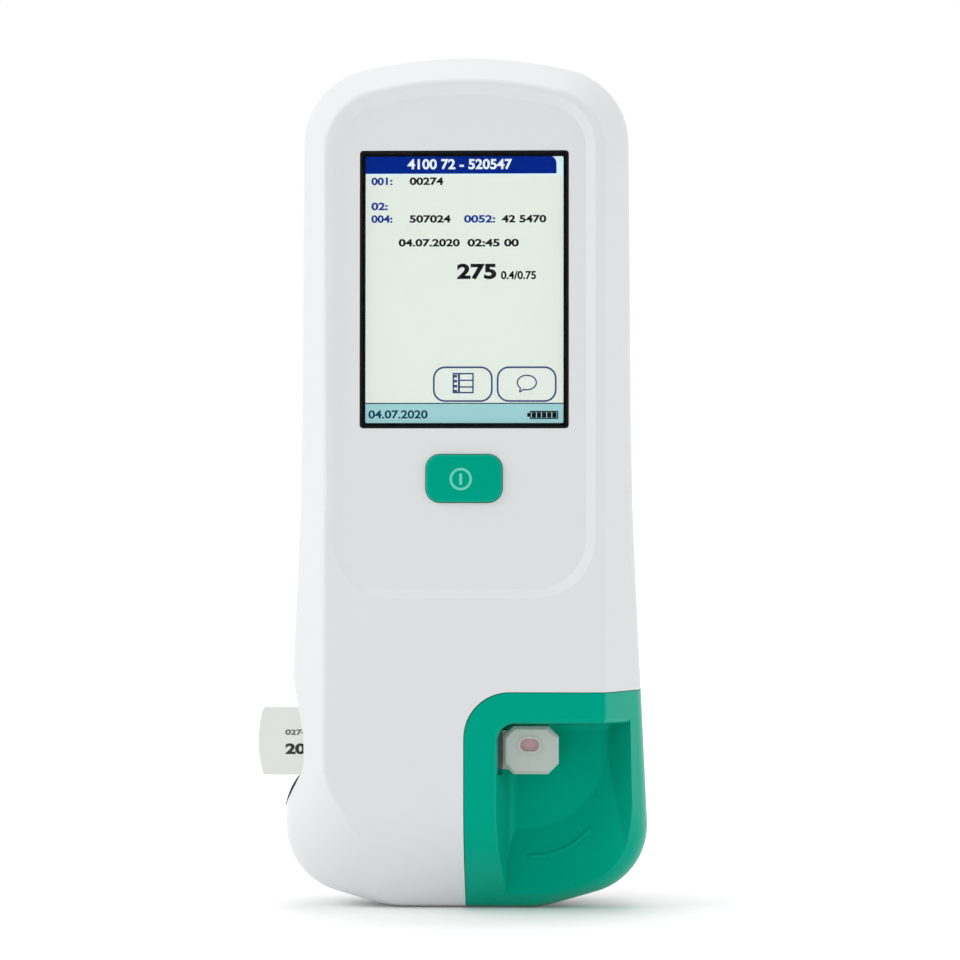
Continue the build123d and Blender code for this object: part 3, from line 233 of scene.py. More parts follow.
# ABS, moulded and spark-eroded: a soft satin white, just on the cool side. The real grain is about 0.1 mm
# and is drawn four times as coarse, so that it shows.
white_abs = moulded("moulded_white_abs", "#E9EAEB", "#ECEDEE", ABS_GRAIN, 0.010 * MM, 0.48)
finish_node(white_abs, "front_cover", "rear_cover", "battery_cover")


# Measuring cover and power button: the same ABS, dyed green and moulded in a polished mould. The cover
# wraps the lower right corner, slides on from the side and snaps in. The button is a cap in the panel,
# which presses on its switch.
GREEN_GRAIN = 0.6 * MM

# ABS, dyed through and moulded smooth: a deep blue-green with a silky shine, its grain only just there.
# Seen head-on, the red is gone from its shine too, as a camera records so strong a green, and at a grazing
# angle the shine is white.
green_abs = moulded("moulded_green_abs", "#00A387", "#00A88C", GREEN_GRAIN, 0.006 * MM, 0.36,
                    own={"Specular Tint": linear("#00F0C8")})
finish_node(green_abs, "measuring_cover", "power_button")


# Case screws: seven pan-head screws of zinc-plated steel, 2.2 mm across, driven from the back into the
# front half's pillars. Their heads sit deep in counterbores, and the thread cuts its own way into the
# plastic. One is modelled in millimetres, its head up, and then turned to the back and copied.
SCREW_PLACES = [
    (-38.5, 223.5), (38.5, 223.5), (-40.4, 128.0), (40.4, 128.0), (-37.8, 20.0), (-7.0, 19.0), (41.8, 71.0),
]
SCREW_SEAT = 4.0
HEAD_RADIUS = 2.3
HEAD_HEIGHT = 1.8
HEAD_DOME = 0.8
LOBES = 6
LOBE_RADIUS = 1.15
LOBE_DEPTH = 1.1
LOBE_TAPER = 0.9
# The driver's recess has six lobes. Between them its rim is drawn in by two steps, each with the range of
# the wave round the head that it takes in, and the share of the radius that it leaves.
LOBE_STEPS = [(-1.1, -0.5, 0.78), (-0.5, 0.3, 0.90)]
SHANK_LENGTH = 11.0
CORE_RADIUS = 0.82
CREST_RADIUS = 1.08
# The thread's section is a triangle with its point outwards and its foot inside the core: the radius of
# the circle round it, and its middle's distance from the core.
THREAD_RADIUS = (CREST_RADIUS - CORE_RADIUS) / 1.2
THREAD_OFFSET = 0.08
THREAD_PITCH = 0.8
THREAD_TURNS = 10
THREAD_STEPS = 16
TIP_LENGTH = 1.2
TIP_TAPER = 0.35
SCREW_CREASE = math.radians(35)
# How far a point may be from the place that a test names, in millimetres.
NEARLY = 0.01


def pick(piece, kind, chosen):
    """Selects a piece's vertices, edges or faces whose place passes a test, and opens it for editing."""
    for each in (*piece.data.vertices, *piece.data.edges, *piece.data.polygons):
        each.select = False
    for each in getattr(piece.data, kind):
        if kind == "edges":
            ends = [piece.data.vertices[i].co for i in each.vertices]
            each.select = chosen((ends[0] + ends[1]) / 2)
        else:
            each.select = chosen(each.co if kind == "vertices" else each.center)
    bpy.ops.object.mode_set(mode="EDIT")
    bpy.ops.mesh.select_mode(type={"vertices": "VERT", "edges": "EDGE", "polygons": "FACE"}[kind])


def finish_piece(piece, name, made, body):
    """Names a new piece and gives it its material and the body that carries it."""
    piece.name = name
    piece.data.name = name
    piece.data.materials.clear()
    piece.data.materials.append(made)
    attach(piece, body)


def joined(pieces):
    """Joins pieces to the first one."""
    select_only(*pieces)
    if len(pieces) > 1:
        bpy.ops.object.join()
    return bpy.context.object


bpy.ops.mesh.primitive_cylinder_add(vertices=48, radius=HEAD_RADIUS, depth=HEAD_HEIGHT,
                                    location=(0.0, 0.0, HEAD_HEIGHT / 2))
head = bpy.context.object
bpy.ops.object.transform_apply(location=True)
pick(head, "edges", lambda at: at.z > HEAD_HEIGHT - NEARLY)
bpy.ops.mesh.bevel(offset=HEAD_DOME, segments=5, affect="EDGES")
bpy.ops.object.mode_set(mode="OBJECT")
top_z = max(v.co.z for v in head.data.vertices)
pick(head, "polygons", lambda at: at.z > top_z - NEARLY)
bpy.ops.mesh.inset(thickness=HEAD_RADIUS - HEAD_DOME - LOBE_RADIUS)
bpy.ops.object.mode_set(mode="OBJECT")
for least, most, share in LOBE_STEPS:
    pick(head, "vertices", lambda at: at.z > top_z - NEARLY and at.xy.length < LOBE_RADIUS + NEARLY
         and least <= math.cos(LOBES * math.atan2(at.y, at.x)) < most)
    bpy.ops.transform.resize(value=(share, share, 1.0), center_override=(0.0, 0.0, top_z))
    bpy.ops.object.mode_set(mode="OBJECT")
pick(head, "polygons", lambda at: at.z > top_z - NEARLY and at.xy.length < NEARLY)
bpy.ops.mesh.extrude_region_move(TRANSFORM_OT_translate={"value": (0.0, 0.0, -LOBE_DEPTH)})
bpy.ops.transform.resize(value=(LOBE_TAPER, LOBE_TAPER, 1.0), center_override=(0.0, 0.0, top_z - LOBE_DEPTH))
bpy.ops.object.mode_set(mode="OBJECT")

bpy.ops.mesh.primitive_cylinder_add(vertices=24, radius=CORE_RADIUS, depth=SHANK_LENGTH,
                                    location=(0.0, 0.0, -SHANK_LENGTH / 2))
shank = bpy.context.object
bpy.ops.object.transform_apply(location=True)
# A blunt tip: a small face stays at the shank's end, and the end's rim moves up from it.
pick(shank, "polygons", lambda at: at.z < -SHANK_LENGTH + NEARLY)
bpy.ops.mesh.extrude_region_move(TRANSFORM_OT_translate={"value": (0.0, 0.0, 0.0)})
bpy.ops.transform.resize(value=(TIP_TAPER, TIP_TAPER, 1.0), center_override=(0.0, 0.0, -SHANK_LENGTH))
bpy.ops.object.mode_set(mode="OBJECT")
pick(shank, "vertices", lambda at: at.z < -SHANK_LENGTH + NEARLY and at.xy.length > CORE_RADIUS - NEARLY)
bpy.ops.transform.translate(value=(0.0, 0.0, TIP_LENGTH))
bpy.ops.object.mode_set(mode="OBJECT")

bpy.ops.mesh.primitive_circle_add(
    vertices=3, radius=THREAD_RADIUS, fill_type="NOTHING",
    location=(CORE_RADIUS + THREAD_OFFSET, 0.0, -SHANK_LENGTH + TIP_LENGTH),
    rotation=(math.pi / 2, math.pi / 2, 0.0),
)
thread = bpy.context.object
bpy.ops.object.transform_apply(location=True, rotation=True)
thread.modifiers.new("turns", "SCREW")
thread.modifiers["turns"].screw_offset = THREAD_PITCH
thread.modifiers["turns"].iterations = THREAD_TURNS
thread.modifiers["turns"].steps = THREAD_STEPS
thread.modifiers["turns"].render_steps = THREAD_STEPS
select_only(thread)
bpy.ops.object.modifier_apply(modifier="turns")
# The thread's two open ends are closed.
bpy.ops.object.mode_set(mode="EDIT")
bpy.ops.mesh.select_all(action="SELECT")
bpy.ops.mesh.fill_holes(sides=4)
bpy.ops.mesh.select_all(action="SELECT")
bpy.ops.mesh.normals_make_consistent(inside=False)
bpy.ops.object.mode_set(mode="OBJECT")

screw = joined([head, shank, thread])
screw.scale = (MM, MM, MM)
screw.rotation_euler = (-math.pi / 2, 0.0, 0.0)
screw.location = (0.0, SCREW_SEAT * MM, 0.0)
bpy.ops.object.transform_apply(location=True, rotation=True, scale=True)
bpy.ops.object.shade_smooth_by_angle(angle=SCREW_CREASE)

# Steel, zinc-plated and clear-passivated: bright grey with a faint blue, finely mottled by the plating's
# crystals, which are drawn at 0.6 mm, so that they show.
ZINC_CRYSTAL = 0.6 * MM
zinc, tree, shader, place = blank_material("zinc_plated_steel")
clouds = node(tree, "ShaderNodeTexNoise", {"Vector": place, "Scale": 1 / ZINC_CRYSTAL, "Detail": 4.0})
tint = node(tree, "ShaderNodeMix", {
    "Factor": clouds.outputs["Fac"], "A": linear("#A9AFB6"), "B": linear("#CDD1D4")}, data_type="RGBA")
shine = node(tree, "ShaderNodeMapRange", {"Value": clouds.outputs["Fac"], "To Min": 0.25, "To Max": 0.45})
tree.links.new(tint.outputs["Result"], shader.inputs["Base Color"])
tree.links.new(shine.outputs[0], shader.inputs["Roughness"])
shader.inputs["Metallic"].default_value = 1.0

for number, (x, z) in enumerate(SCREW_PLACES, 1):
    copy = screw if number == len(SCREW_PLACES) else screw.copy()
    if copy is not screw:
        copy.data = screw.data.copy()
        bpy.context.collection.objects.link(copy)
    copy.data.transform(Matrix.Translation((x * MM, 0.0, z * MM)))
    finish_piece(copy, f"case_screw_{number}", zinc, "housing")
    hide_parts("case_screws")


# Display, the black frame and the glass: a moulded frame with the touch glass bonded in its front and a
# thin foam on its back. It drops into the window of the front half from inside.

# PC and ABS blend, moulded black with an etched face: near-black, a soft sheen.
black_frame = moulded("moulded_black_frame", "#08090A", "#0D0E10", 0.5 * MM, 0.012 * MM, 0.5,
                      own={"Specular IOR Level": 0.2})
finish_node(black_frame, "display_gasket")

# Soda-lime glass, 1.1 mm, its front etched so finely that it only takes the edge off reflections. The
# etch is 0.05 mm and drawn at 0.4 mm.
ETCH = 0.4 * MM
glass, tree, shader, place = blank_material("etched_touch_glass")
etch = node(tree, "ShaderNodeTexNoise", {"Vector": place, "Scale": 1 / ETCH, "Detail": 2.0})
shine = node(tree, "ShaderNodeMapRange", {"Value": etch.outputs["Fac"], "To Min": 0.02, "To Max": 0.07})
tree.links.new(shine.outputs[0], shader.inputs["Roughness"])
shader.inputs["Base Color"].default_value = linear("#FAFDFB")
shader.inputs["Transmission Weight"].default_value = 1.0
shader.inputs["IOR"].default_value = 1.5
shader.inputs["Specular IOR Level"].default_value = 0.35
finish_node(glass, "touch_panel")


# Display, the lit panel and its picture: a liquid crystal cell in a folded steel frame, lit from behind,
# which shows a result. Bars, outlines and figures are thin layers on the cell, drawn in millimetres from
# the window's top left corner, x to the right and y up.
FACE_TILT = math.radians(1.4)
# How far behind the case's face the black frame's middle and the lit cell lie.
FRAME_DEPTH = 2.25
PICTURE_DEPTH = 3.7
WINDOW_WIDTH = 56.3
WINDOW_HEIGHT = 75.9
PANEL_THICKNESS = 0.12
LAYER = 0.08
PIXEL = 0.24 * MM
# Points of a flat piece that are nearer than this become one.
WELD = 0.0005
low, high = (Vector(corner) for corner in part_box("display_gasket"))
face_up = Vector((0.0, math.sin(FACE_TILT), math.cos(FACE_TILT)))
face_out = Vector((0.0, -math.cos(FACE_TILT), math.sin(FACE_TILT)))
PICTURE_CORNER = ((low + high) / 2 - Vector((WINDOW_WIDTH / 2 * MM, 0.0, 0.0))
                  + WINDOW_HEIGHT / 2 * MM * face_up + (FRAME_DEPTH - PICTURE_DEPTH) * MM * face_out)

# Each plate of the picture as left, right, foot and top, and for some the corners' radius.
PANEL = (-0.65, 56.95, -76.55, 0.65)
PICTURE_LEFT = -0.6
PICTURE_RIGHT = 56.9
TITLE = (-0.2, 54.3, -4.85, 0.3)
# The title bar's two upper corners, each with its radius.
TITLE_CORNERS = [((-0.2, 0.3), 1.2), ((54.3, 0.3), 2.3)]
TAB = (54.6, PICTURE_RIGHT, -4.85, 0.1)
TAB_LINE = (PICTURE_LEFT, PICTURE_RIGHT, -5.25, -4.97)
STATUS_BAR = (PICTURE_LEFT, PICTURE_RIGHT, -76.5, -70.45)
STATUS_LINE = (PICTURE_LEFT, PICTURE_RIGHT, -70.42, -70.1)
KEY_LEFTS = (19.2, 37.35)
KEY_WIDTH = 17.0
KEY_FOOT = -69.85
KEY_TOP = -59.75
KEY_CORNER = 3.4
KEY_LINE = 0.5
LIST_FRAME = (24.8, 30.8, -67.4, -61.6)
LIST_DIVIDER = (26.3, 26.9, -67.2, -61.8)
LIST_LINE = 0.42
LIST_MARK = (25.2, 26.1, -62.9, -62.15)
LIST_MARK_COUNT = 4
LIST_MARK_PITCH = 1.42
LIST_ROW = (26.9, 30.4, -63.9, -63.5)
LIST_ROW_COUNT = 2
LIST_ROW_PITCH = 1.9
BUBBLE_PLACE = (45.9, -64.35, 0.0)
BUBBLE_HALVES = (2.9, 2.25, 1.0)
BUBBLE_TAIL_FROM = (44.7, -65.95)
BUBBLE_TAIL = (-0.55, -0.85, 0.0)
BUBBLE_LINE = 0.38
BATTERY_FRAME = (46.7, 54.8, -74.7, -72.4, 0.3)
BATTERY_POLE = (46.0, 46.7, -74.1, -73.0)
BATTERY_LINE = 0.35
BATTERY_CELL = (47.3, 48.5, -74.3, -72.8)
BATTERY_CELL_COUNT = 5
BATTERY_CELL_PITCH = 1.45
# Height and weight of the small figures.
SMALL = (2.2, 0.034)


def plate(left, right, foot, top, corner=0.0):
    """A flat plate in millimetres, with its corners rounded."""
    bpy.ops.mesh.primitive_plane_add(size=1.0, location=((left + right) / 2, (foot + top) / 2, 0.0))
    piece = bpy.context.object
    piece.scale = (right - left, top - foot, 1.0)
    bpy.ops.object.transform_apply(location=True, rotation=False, scale=True)
    if corner:
        bpy.ops.object.mode_set(mode="EDIT")
        bpy.ops.mesh.select_all(action="SELECT")
        bpy.ops.mesh.bevel(offset=corner, segments=7, affect="VERTICES")
        bpy.ops.object.mode_set(mode="OBJECT")
    return piece


def plates(first, count, across, down):
    """A plate and its copies, each some way to the right of the last one and below it."""
    left, right, foot, top = first
    made = []
    for step in range(count):
        x = across * step
        y = down * step
        made.append(plate(left + x, right + x, foot - y, top - y))
    return made


def hollowed(piece, width):
    """Leaves only the outline of a flat piece, of a given width."""
    select_only(piece)
    bpy.ops.object.mode_set(mode="EDIT")
    bpy.ops.mesh.select_mode(type="FACE")
    bpy.ops.mesh.select_all(action="SELECT")
    bpy.ops.mesh.inset(thickness=width)
    bpy.ops.mesh.delete(type="FACE")
    bpy.ops.object.mode_set(mode="OBJECT")
    return piece


def figures(lines):
    """Lines of plain figures as one flat piece, each line as text, left, right, foot, height and weight."""
    made = []
    for text, left, right, foot, height, weight in lines:
        bpy.ops.object.text_add()
        bpy.context.object.data.body = text
        bpy.context.object.data.offset = weight
        bpy.ops.object.convert(target="MESH")
        line = bpy.context.object
        across = [v.co.x for v in line.data.vertices]
        up = [v.co.y for v in line.data.vertices]
        wide = (right - left) / (max(across) - min(across))
        tall = height / (max(up) - min(up))
        line.scale = (wide, tall, 1.0)
        line.location = (left - min(across) * wide, foot - min(up) * tall, 0.0)
        bpy.ops.object.transform_apply(location=True, rotation=False, scale=True)
        made.append(line)
    return joined(made)


def stood(piece, origin, tilt, height, thickness):
    """Thickens a flat piece drawn in millimetres and stands it upright, a height in front of a place."""
    select_only(piece)
    bpy.ops.object.mode_set(mode="EDIT")
    bpy.ops.mesh.select_all(action="SELECT")
    bpy.ops.mesh.remove_doubles(threshold=WELD)
    bpy.ops.object.mode_set(mode="OBJECT")
    piece.modifiers.new("thickness", "SOLIDIFY")
    piece.modifiers["thickness"].thickness = thickness
    piece.modifiers["thickness"].offset = 1.0
    bpy.ops.object.modifier_apply(modifier="thickness")
    piece.matrix_world = (Matrix.Translation(origin) @ Matrix.Rotation(math.pi / 2 - tilt, 4, "X")
                          @ Matrix.Scale(MM, 4) @ Matrix.Translation((0.0, 0.0, height)))
    bpy.ops.object.transform_apply(location=True, rotation=True, scale=True)
    return piece


def lit(name, dark, pale, glow, strength):
    """Liquid crystal over a backlight: pixels in their own colour, and the light that they let through.

    A coated polariser lies over them, so they hardly mirror.
    """
    made, tree, shader, place = blank_material(name)
    flat = node(tree, "ShaderNodeMapping", {"Vector": place, "Rotation": (math.pi / 2, 0.0, 0.0)})
    grid = node(tree, "ShaderNodeTexBrick", {
        "Vector": flat.outputs[0], "Color1": linear(pale), "Color2": linear(pale), "Mortar": linear(dark),
        "Scale": 1 / PIXEL, "Mortar Size": 0.08, "Brick Width": 1.0, "Row Height": 1.0}, offset=0.0)
    tree.links.new(grid.outputs["Color"], shader.inputs["Base Color"])
    shader.inputs["Emission Color"].default_value = linear(glow)
    shader.inputs["Emission Strength"].default_value = strength
    shader.inputs["Roughness"].default_value = 0.25
    shader.inputs["Specular IOR Level"].default_value = 0.1
    return made


def show(piece, name, made, layer):
    """Puts a flat piece on the lit panel, on a layer counted from it."""
    stood(piece, PICTURE_CORNER, FACE_TILT, PANEL_THICKNESS + (layer - 1) * LAYER, LAYER)
    finish_piece(piece, name, made, "housing")


def sheet_metal(name, dark, pale, mark, low_shine, high_shine):
    """Sheet or milled metal: fine marks along X, 1 mark wide and 12 long, in its colour and its shine."""
    made, tree, shader, place = blank_material(name)
    long = node(tree, "ShaderNodeMapping", {"Vector": place, "Scale": (1 / 12, 1.0, 1.0)})
    marks = node(tree, "ShaderNodeTexNoise", {"Vector": long.outputs[0], "Scale": 1 / mark, "Detail": 4.0})
    tint = node(tree, "ShaderNodeMix", {
        "Factor": marks.outputs["Fac"], "A": linear(dark), "B": linear(pale)}, data_type="RGBA")
    shine = node(tree, "ShaderNodeMapRange", {
        "Value": marks.outputs["Fac"], "To Min": low_shine, "To Max": high_shine})
    tree.links.new(tint.outputs["Result"], shader.inputs["Base Color"])
    tree.links.new(shine.outputs[0], shader.inputs["Roughness"])
    shader.inputs["Metallic"].default_value = 1.0
    return made


# Steel, tin-plated and folded round the cell: plain pale grey with rolling marks.
tinned_steel = sheet_metal("tinned_sheet_steel", "#B4B7B8", "#CFD1D1", 0.25 * MM, 0.3, 0.45)
finish_node(tinned_steel, "lcd_module", "shield_can")

# The cell's pixels are 0.24 mm, as on such displays. Behind pale pixels the backlight gives a faint green.
lit_pale = lit("lit_pale_pixels", "#9FA59F", "#AEB3AD", "#DEE2DC", 0.90)
lit_blue = lit("lit_blue_pixels", "#00103C", "#001648", "#00258C", 0.92)
lit_mint = lit("lit_mint_pixels", "#6E979C", "#7BA3A8", "#9CC9CE", 0.86)
lit_sky = lit("lit_sky_pixels", "#8FA9B3", "#9CB5BE", "#CFEAF3", 0.95)
lit_white = lit("lit_white_pixels", "#B4B8BA", "#BFC3C5", "#E8F1F5", 0.85)
lit_ink = lit("lit_black_pixels", "#08090A", "#0C0E10", "#0D1117", 0.80)
lit_navy = lit("lit_navy_pixels", "#0A1B52", "#0D2060", "#143A96", 0.85)
lit_slate = lit("lit_slate_pixels", "#1E2C48", "#25355A", "#3B4D78", 0.85)
lit_teal = lit("lit_teal_pixels", "#06222F", "#092B3C", "#053F5C", 0.85)

panel = plate(*PANEL)
stood(panel, PICTURE_CORNER, FACE_TILT, 0.0, PANEL_THICKNESS)
finish_piece(panel, "screen_panel", lit_pale, "housing")

title = plate(*TITLE)
for corner, radius in TITLE_CORNERS:
    pick(title, "vertices", lambda at: (at.xy - Vector(corner)).length < NEARLY)
    bpy.ops.mesh.bevel(offset=radius, segments=5, affect="VERTICES")
    bpy.ops.object.mode_set(mode="OBJECT")
show(title, "screen_title_bar", lit_blue, 1)
show(joined([plate(*TAB), plate(*TAB_LINE)]), "screen_title_tab", lit_sky, 1)
show(plate(*STATUS_BAR), "screen_status_bar", lit_mint, 1)
show(figures([("4100 72 - 520547", 11.9, 41.7, -3.65, 3.0, 0.03)]), "screen_title_figures", lit_white, 2)
show(figures([
    ("001:", 1.6, 7.6, -8.1, *SMALL),
    ("02:", 1.6, 6.3, -15.25, *SMALL),
    ("004:", 1.6, 7.6, -18.85, *SMALL),
    ("0052:", 28.0, 36.9, -18.85, *SMALL),
]), "screen_labels", lit_navy, 1)
show(figures([
    ("00274", 12.5, 22.1, -8.1, *SMALL),
    ("507024", 12.5, 24.2, -18.85, *SMALL),
    ("42 5470", 38.7, 51.4, -18.85, *SMALL),
    ("04.07.2020", 9.4, 26.8, -25.65, *SMALL),
    ("02:45 00", 29.0, 43.6, -25.65, *SMALL),
    ("275", 26.0, 37.2, -35.0, 4.5, 0.04),
    ("0.4/0.75", 38.5, 48.5, -35.0, 2.4, 0.03),
]), "screen_result", lit_ink, 1)
show(figures([("04.07.2020", 0.85, 17.7, -74.6, 2.4, 0.026)]), "screen_status_figures", lit_teal, 2)

keys = []
for left in KEY_LEFTS:
    keys.append(hollowed(plate(left, left + KEY_WIDTH, KEY_FOOT, KEY_TOP, KEY_CORNER), KEY_LINE))
show(joined(keys), "screen_keys", lit_slate, 1)

# The left key's sign is a list, the right key's a speech bubble with its tail at the lower left.
rows = [hollowed(plate(*LIST_FRAME), LIST_LINE), plate(*LIST_DIVIDER)]
rows += plates(LIST_MARK, LIST_MARK_COUNT, 0.0, LIST_MARK_PITCH)
rows += plates(LIST_ROW, LIST_ROW_COUNT, 0.0, LIST_ROW_PITCH)
show(joined(rows), "screen_list_sign", lit_slate, 1)

bpy.ops.mesh.primitive_circle_add(vertices=40, radius=1.0, fill_type="NGON", location=BUBBLE_PLACE)
bubble = bpy.context.object
bubble.scale = BUBBLE_HALVES
bpy.ops.object.transform_apply(location=True, rotation=False, scale=True)
pick(bubble, "vertices", lambda at: at.x < BUBBLE_TAIL_FROM[0] and at.y < BUBBLE_TAIL_FROM[1])
bpy.ops.transform.translate(value=BUBBLE_TAIL)
bpy.ops.object.mode_set(mode="OBJECT")
show(hollowed(bubble, BUBBLE_LINE), "screen_speech_sign", lit_slate, 1)

cells = [hollowed(plate(*BATTERY_FRAME), BATTERY_LINE), plate(*BATTERY_POLE)]
cells += plates(BATTERY_CELL, BATTERY_CELL_COUNT, BATTERY_CELL_PITCH, 0.0)
show(joined(cells), "screen_battery_sign", lit_ink, 2)
show(plate(*STATUS_LINE), "screen_status_line", lit_teal, 1)


# Power symbol: a ring with a bar, pad-printed on the button's cap in pale ink, which stands 0.04 mm proud.
# It lies just left of the cap's middle, and the cap's front is level with the case's face.
SYMBOL_RADIUS = 3.2
SYMBOL_LINE = 0.74
SYMBOL_BAR = (-0.42, 0.42, -1.6, 1.6, 0.2)
SYMBOL_SHIFT = (-0.9, -0.2)
BUTTON_ALONG_FACE = 123.3
FACE_FOOT_Y = -26.278
INK_THICKNESS = 0.04

symbol_place = (Vector((SYMBOL_SHIFT[0] * MM, FACE_FOOT_Y * MM, 0.0))
                + (BUTTON_ALONG_FACE + SYMBOL_SHIFT[1]) * MM * face_up)
bpy.ops.mesh.primitive_circle_add(vertices=64, radius=SYMBOL_RADIUS, fill_type="NGON")
symbol = joined([hollowed(bpy.context.object, SYMBOL_LINE), plate(*SYMBOL_BAR)])
stood(symbol, symbol_place, FACE_TILT, 0.0, INK_THICKNESS)
# Printing ink on the moulded cap: pale mint, a little uneven where it thins.
mint_ink = moulded("printed_mint_ink", "#63D2B9", "#70DAC4", 0.3 * MM, 0.004 * MM, 0.45, 2 * MM)
finish_piece(symbol, "power_symbol", mint_ink, "power_button")


# Display holder and strip guide: grey glass-filled plastic, moulded, with their posts and pegs in one piece.
# The holder carries the display over the main board, and the guide leads the strip to the optics.
grey_plastic = moulded("moulded_grey_plastic", "#7C7E82", "#888A8D", 0.5 * MM, 0.015 * MM, 0.55)
finish_node(grey_plastic, "display_holder", "strip_guide")


# Flat cables: copper tracks between two polyimide films, 0.3 mm thick, folded from the display to the main
# board and from there to the measuring board. The real tracks are 0.5 mm apart and are drawn at 0.8 mm, so
# that they show.
TRACK_PITCH = 0.8 * MM
film, tree, shader, place = blank_material("polyimide_flat_cable")
across = node(tree, "ShaderNodeTexWave", {"Vector": place, "Scale": math.tau / (20 * TRACK_PITCH)},
              wave_type="BANDS", bands_direction="X")
tint = node(tree, "ShaderNodeMix", {
    "Factor": across.outputs["Fac"], "A": linear("#8A4A12"), "B": linear("#C98A3C")}, data_type="RGBA")
relief = node(tree, "ShaderNodeBump", {
    "Height": across.outputs["Fac"], "Distance": 0.02 * MM, "Strength": 0.5})
tree.links.new(tint.outputs["Result"], shader.inputs["Base Color"])
tree.links.new(relief.outputs[0], shader.inputs["Normal"])
shader.inputs["Roughness"].default_value = 0.32
finish_node(film, "display_ribbon", "board_link")


# Circuit boards: glass-fibre laminate with copper tracks under a green solder mask and gilded pads, 1.6 mm
# thick. They stand upright, so the pattern runs in x and z: tracks 0.25 mm wide, in rows of 1.27 mm, and
# pads 0.9 mm across, in patches, at 2.54 mm pitch.
PAD_PITCH = 2.54 * MM
PAD_RADIUS_SHARE = 0.18
PAD_PATCH = 9 * MM
# The patches are where their noise is above this level.
PAD_PATCH_LEVEL = 0.56
laminate, tree, shader, place = blank_material("solder_masked_laminate")
flat = node(tree, "ShaderNodeMapping", {"Vector": place, "Rotation": (math.pi / 2, 0.0, 0.0)})
tracks = node(tree, "ShaderNodeTexBrick", {
    "Vector": flat.outputs[0], "Color1": linear("#0C4527"), "Color2": linear("#0F4F2E"),
    "Mortar": linear("#2C7A4C"), "Scale": 1 / (2 * PAD_PITCH), "Mortar Size": 0.025, "Brick Width": 1.5,
    "Row Height": 0.25})
pads = node(tree, "ShaderNodeTexVoronoi", {
    "Vector": flat.outputs[0], "Scale": 1 / PAD_PITCH, "Randomness": 0.0}, voronoi_dimensions="2D")
patches = node(tree, "ShaderNodeTexNoise", {"Vector": place, "Scale": 1 / PAD_PATCH, "Detail": 0.0})
on_pad = node(tree, "ShaderNodeMath", {0: pads.outputs["Distance"], 1: PAD_RADIUS_SHARE},
              operation="LESS_THAN")
in_patch = node(tree, "ShaderNodeMath", {0: patches.outputs["Fac"], 1: PAD_PATCH_LEVEL},
                operation="GREATER_THAN")
gilt = node(tree, "ShaderNodeMath", {0: on_pad.outputs[0], 1: in_patch.outputs[0]}, operation="MULTIPLY")
tint = node(tree, "ShaderNodeMix", {
    "Factor": gilt.outputs[0], "A": tracks.outputs["Color"], "B": linear("#D9B25E")}, data_type="RGBA")
relief = node(tree, "ShaderNodeBump", {
    "Height": tracks.outputs["Fac"], "Distance": 0.03 * MM, "Strength": 0.6})
tree.links.new(tint.outputs["Result"], shader.inputs["Base Color"])
tree.links.new(gilt.outputs[0], shader.inputs["Metallic"])
tree.links.new(relief.outputs[0], shader.inputs["Normal"])
shader.inputs["Roughness"].default_value = 0.35
finish_node(laminate, "main_board", "measuring_board", "camera_board")


# On the main board's back: six chips in black epoxy, a tinned shield can, a buzzer and a steel backup cell,
# all soldered flat. The switch of the power button sits on its front, a steel shell with a black plunger.
PARTED_MOTTLE = 0.3 * MM
PLUNGER_END_Y = -14.2

# Epoxy moulding compound: charcoal, matt, with the fine sparkle of its silica filler, drawn at 0.2 mm.
epoxy = moulded("black_moulding_compound", "#1C1D1F", "#27282A", 0.2 * MM, 0.01 * MM, 0.62, 4 * MM)
finish_node(epoxy, "board_chips", "strip_switch")
# Glass-filled plastic, moulded black: smooth, a little glossy.
buzzer_case = moulded("black_buzzer_case", "#141517", "#1B1C1E", 0.3 * MM, 0.01 * MM, 0.42, 6 * MM)
finish_node(buzzer_case, "buzzer")
finish_node(zinc, "backup_cell")


def parted(name, axis, at, under, over, under_shine, over_shine, under_metal=0.0, over_metal=0.0):
    """Two finishes on one piece, under and over a place on one axis, each with a fine mottle.

    The axis is 0, 1 or 2, and the place is in millimetres.
    """
    made, tree, shader, place = blank_material(name)
    ways = node(tree, "ShaderNodeSeparateXYZ", {0: place})
    past = node(tree, "ShaderNodeMath", {0: ways.outputs[axis], 1: at * MM},
                operation="GREATER_THAN").outputs[0]
    mottle = node(tree, "ShaderNodeTexNoise", {"Vector": place, "Scale": 1 / PARTED_MOTTLE, "Detail": 3.0})
    tint = node(tree, "ShaderNodeMix", {
        "Factor": past, "A": linear(under), "B": linear(over)}, data_type="RGBA")
    shade = node(tree, "ShaderNodeMapRange", {
        "Value": mottle.outputs["Fac"], "To Min": 0.90, "To Max": 1.08})
    tint = node(tree, "ShaderNodeVectorMath", {0: tint.outputs["Result"], "Scale": shade.outputs[0]},
                operation="SCALE")
    shine = node(tree, "ShaderNodeMapRange", {"Value": past, "To Min": under_shine, "To Max": over_shine})
    metal = node(tree, "ShaderNodeMapRange", {"Value": past, "To Min": under_metal, "To Max": over_metal})
    tree.links.new(tint.outputs[0], shader.inputs["Base Color"])
    tree.links.new(shine.outputs[0], shader.inputs["Roughness"])
    tree.links.new(metal.outputs[0], shader.inputs["Metallic"])
    return made


# Moulded black plastic, satin, up to where the plunger ends, and then the pressed shell of plain steel.
finish_node(parted("tactile_switch", 1, PLUNGER_END_Y, "#1A1B1D", "#B9BCBE", 0.5, 0.35, over_metal=1.0),
            "power_switch")


# Measuring chamber: the black tray behind the scoop keeps dirt out, and the black optics block holds the
# camera's lens and two diodes over the strip. A milled aluminium plate in the guide's front warms the strip.
LENS_GLASS_END_Y = -11.3

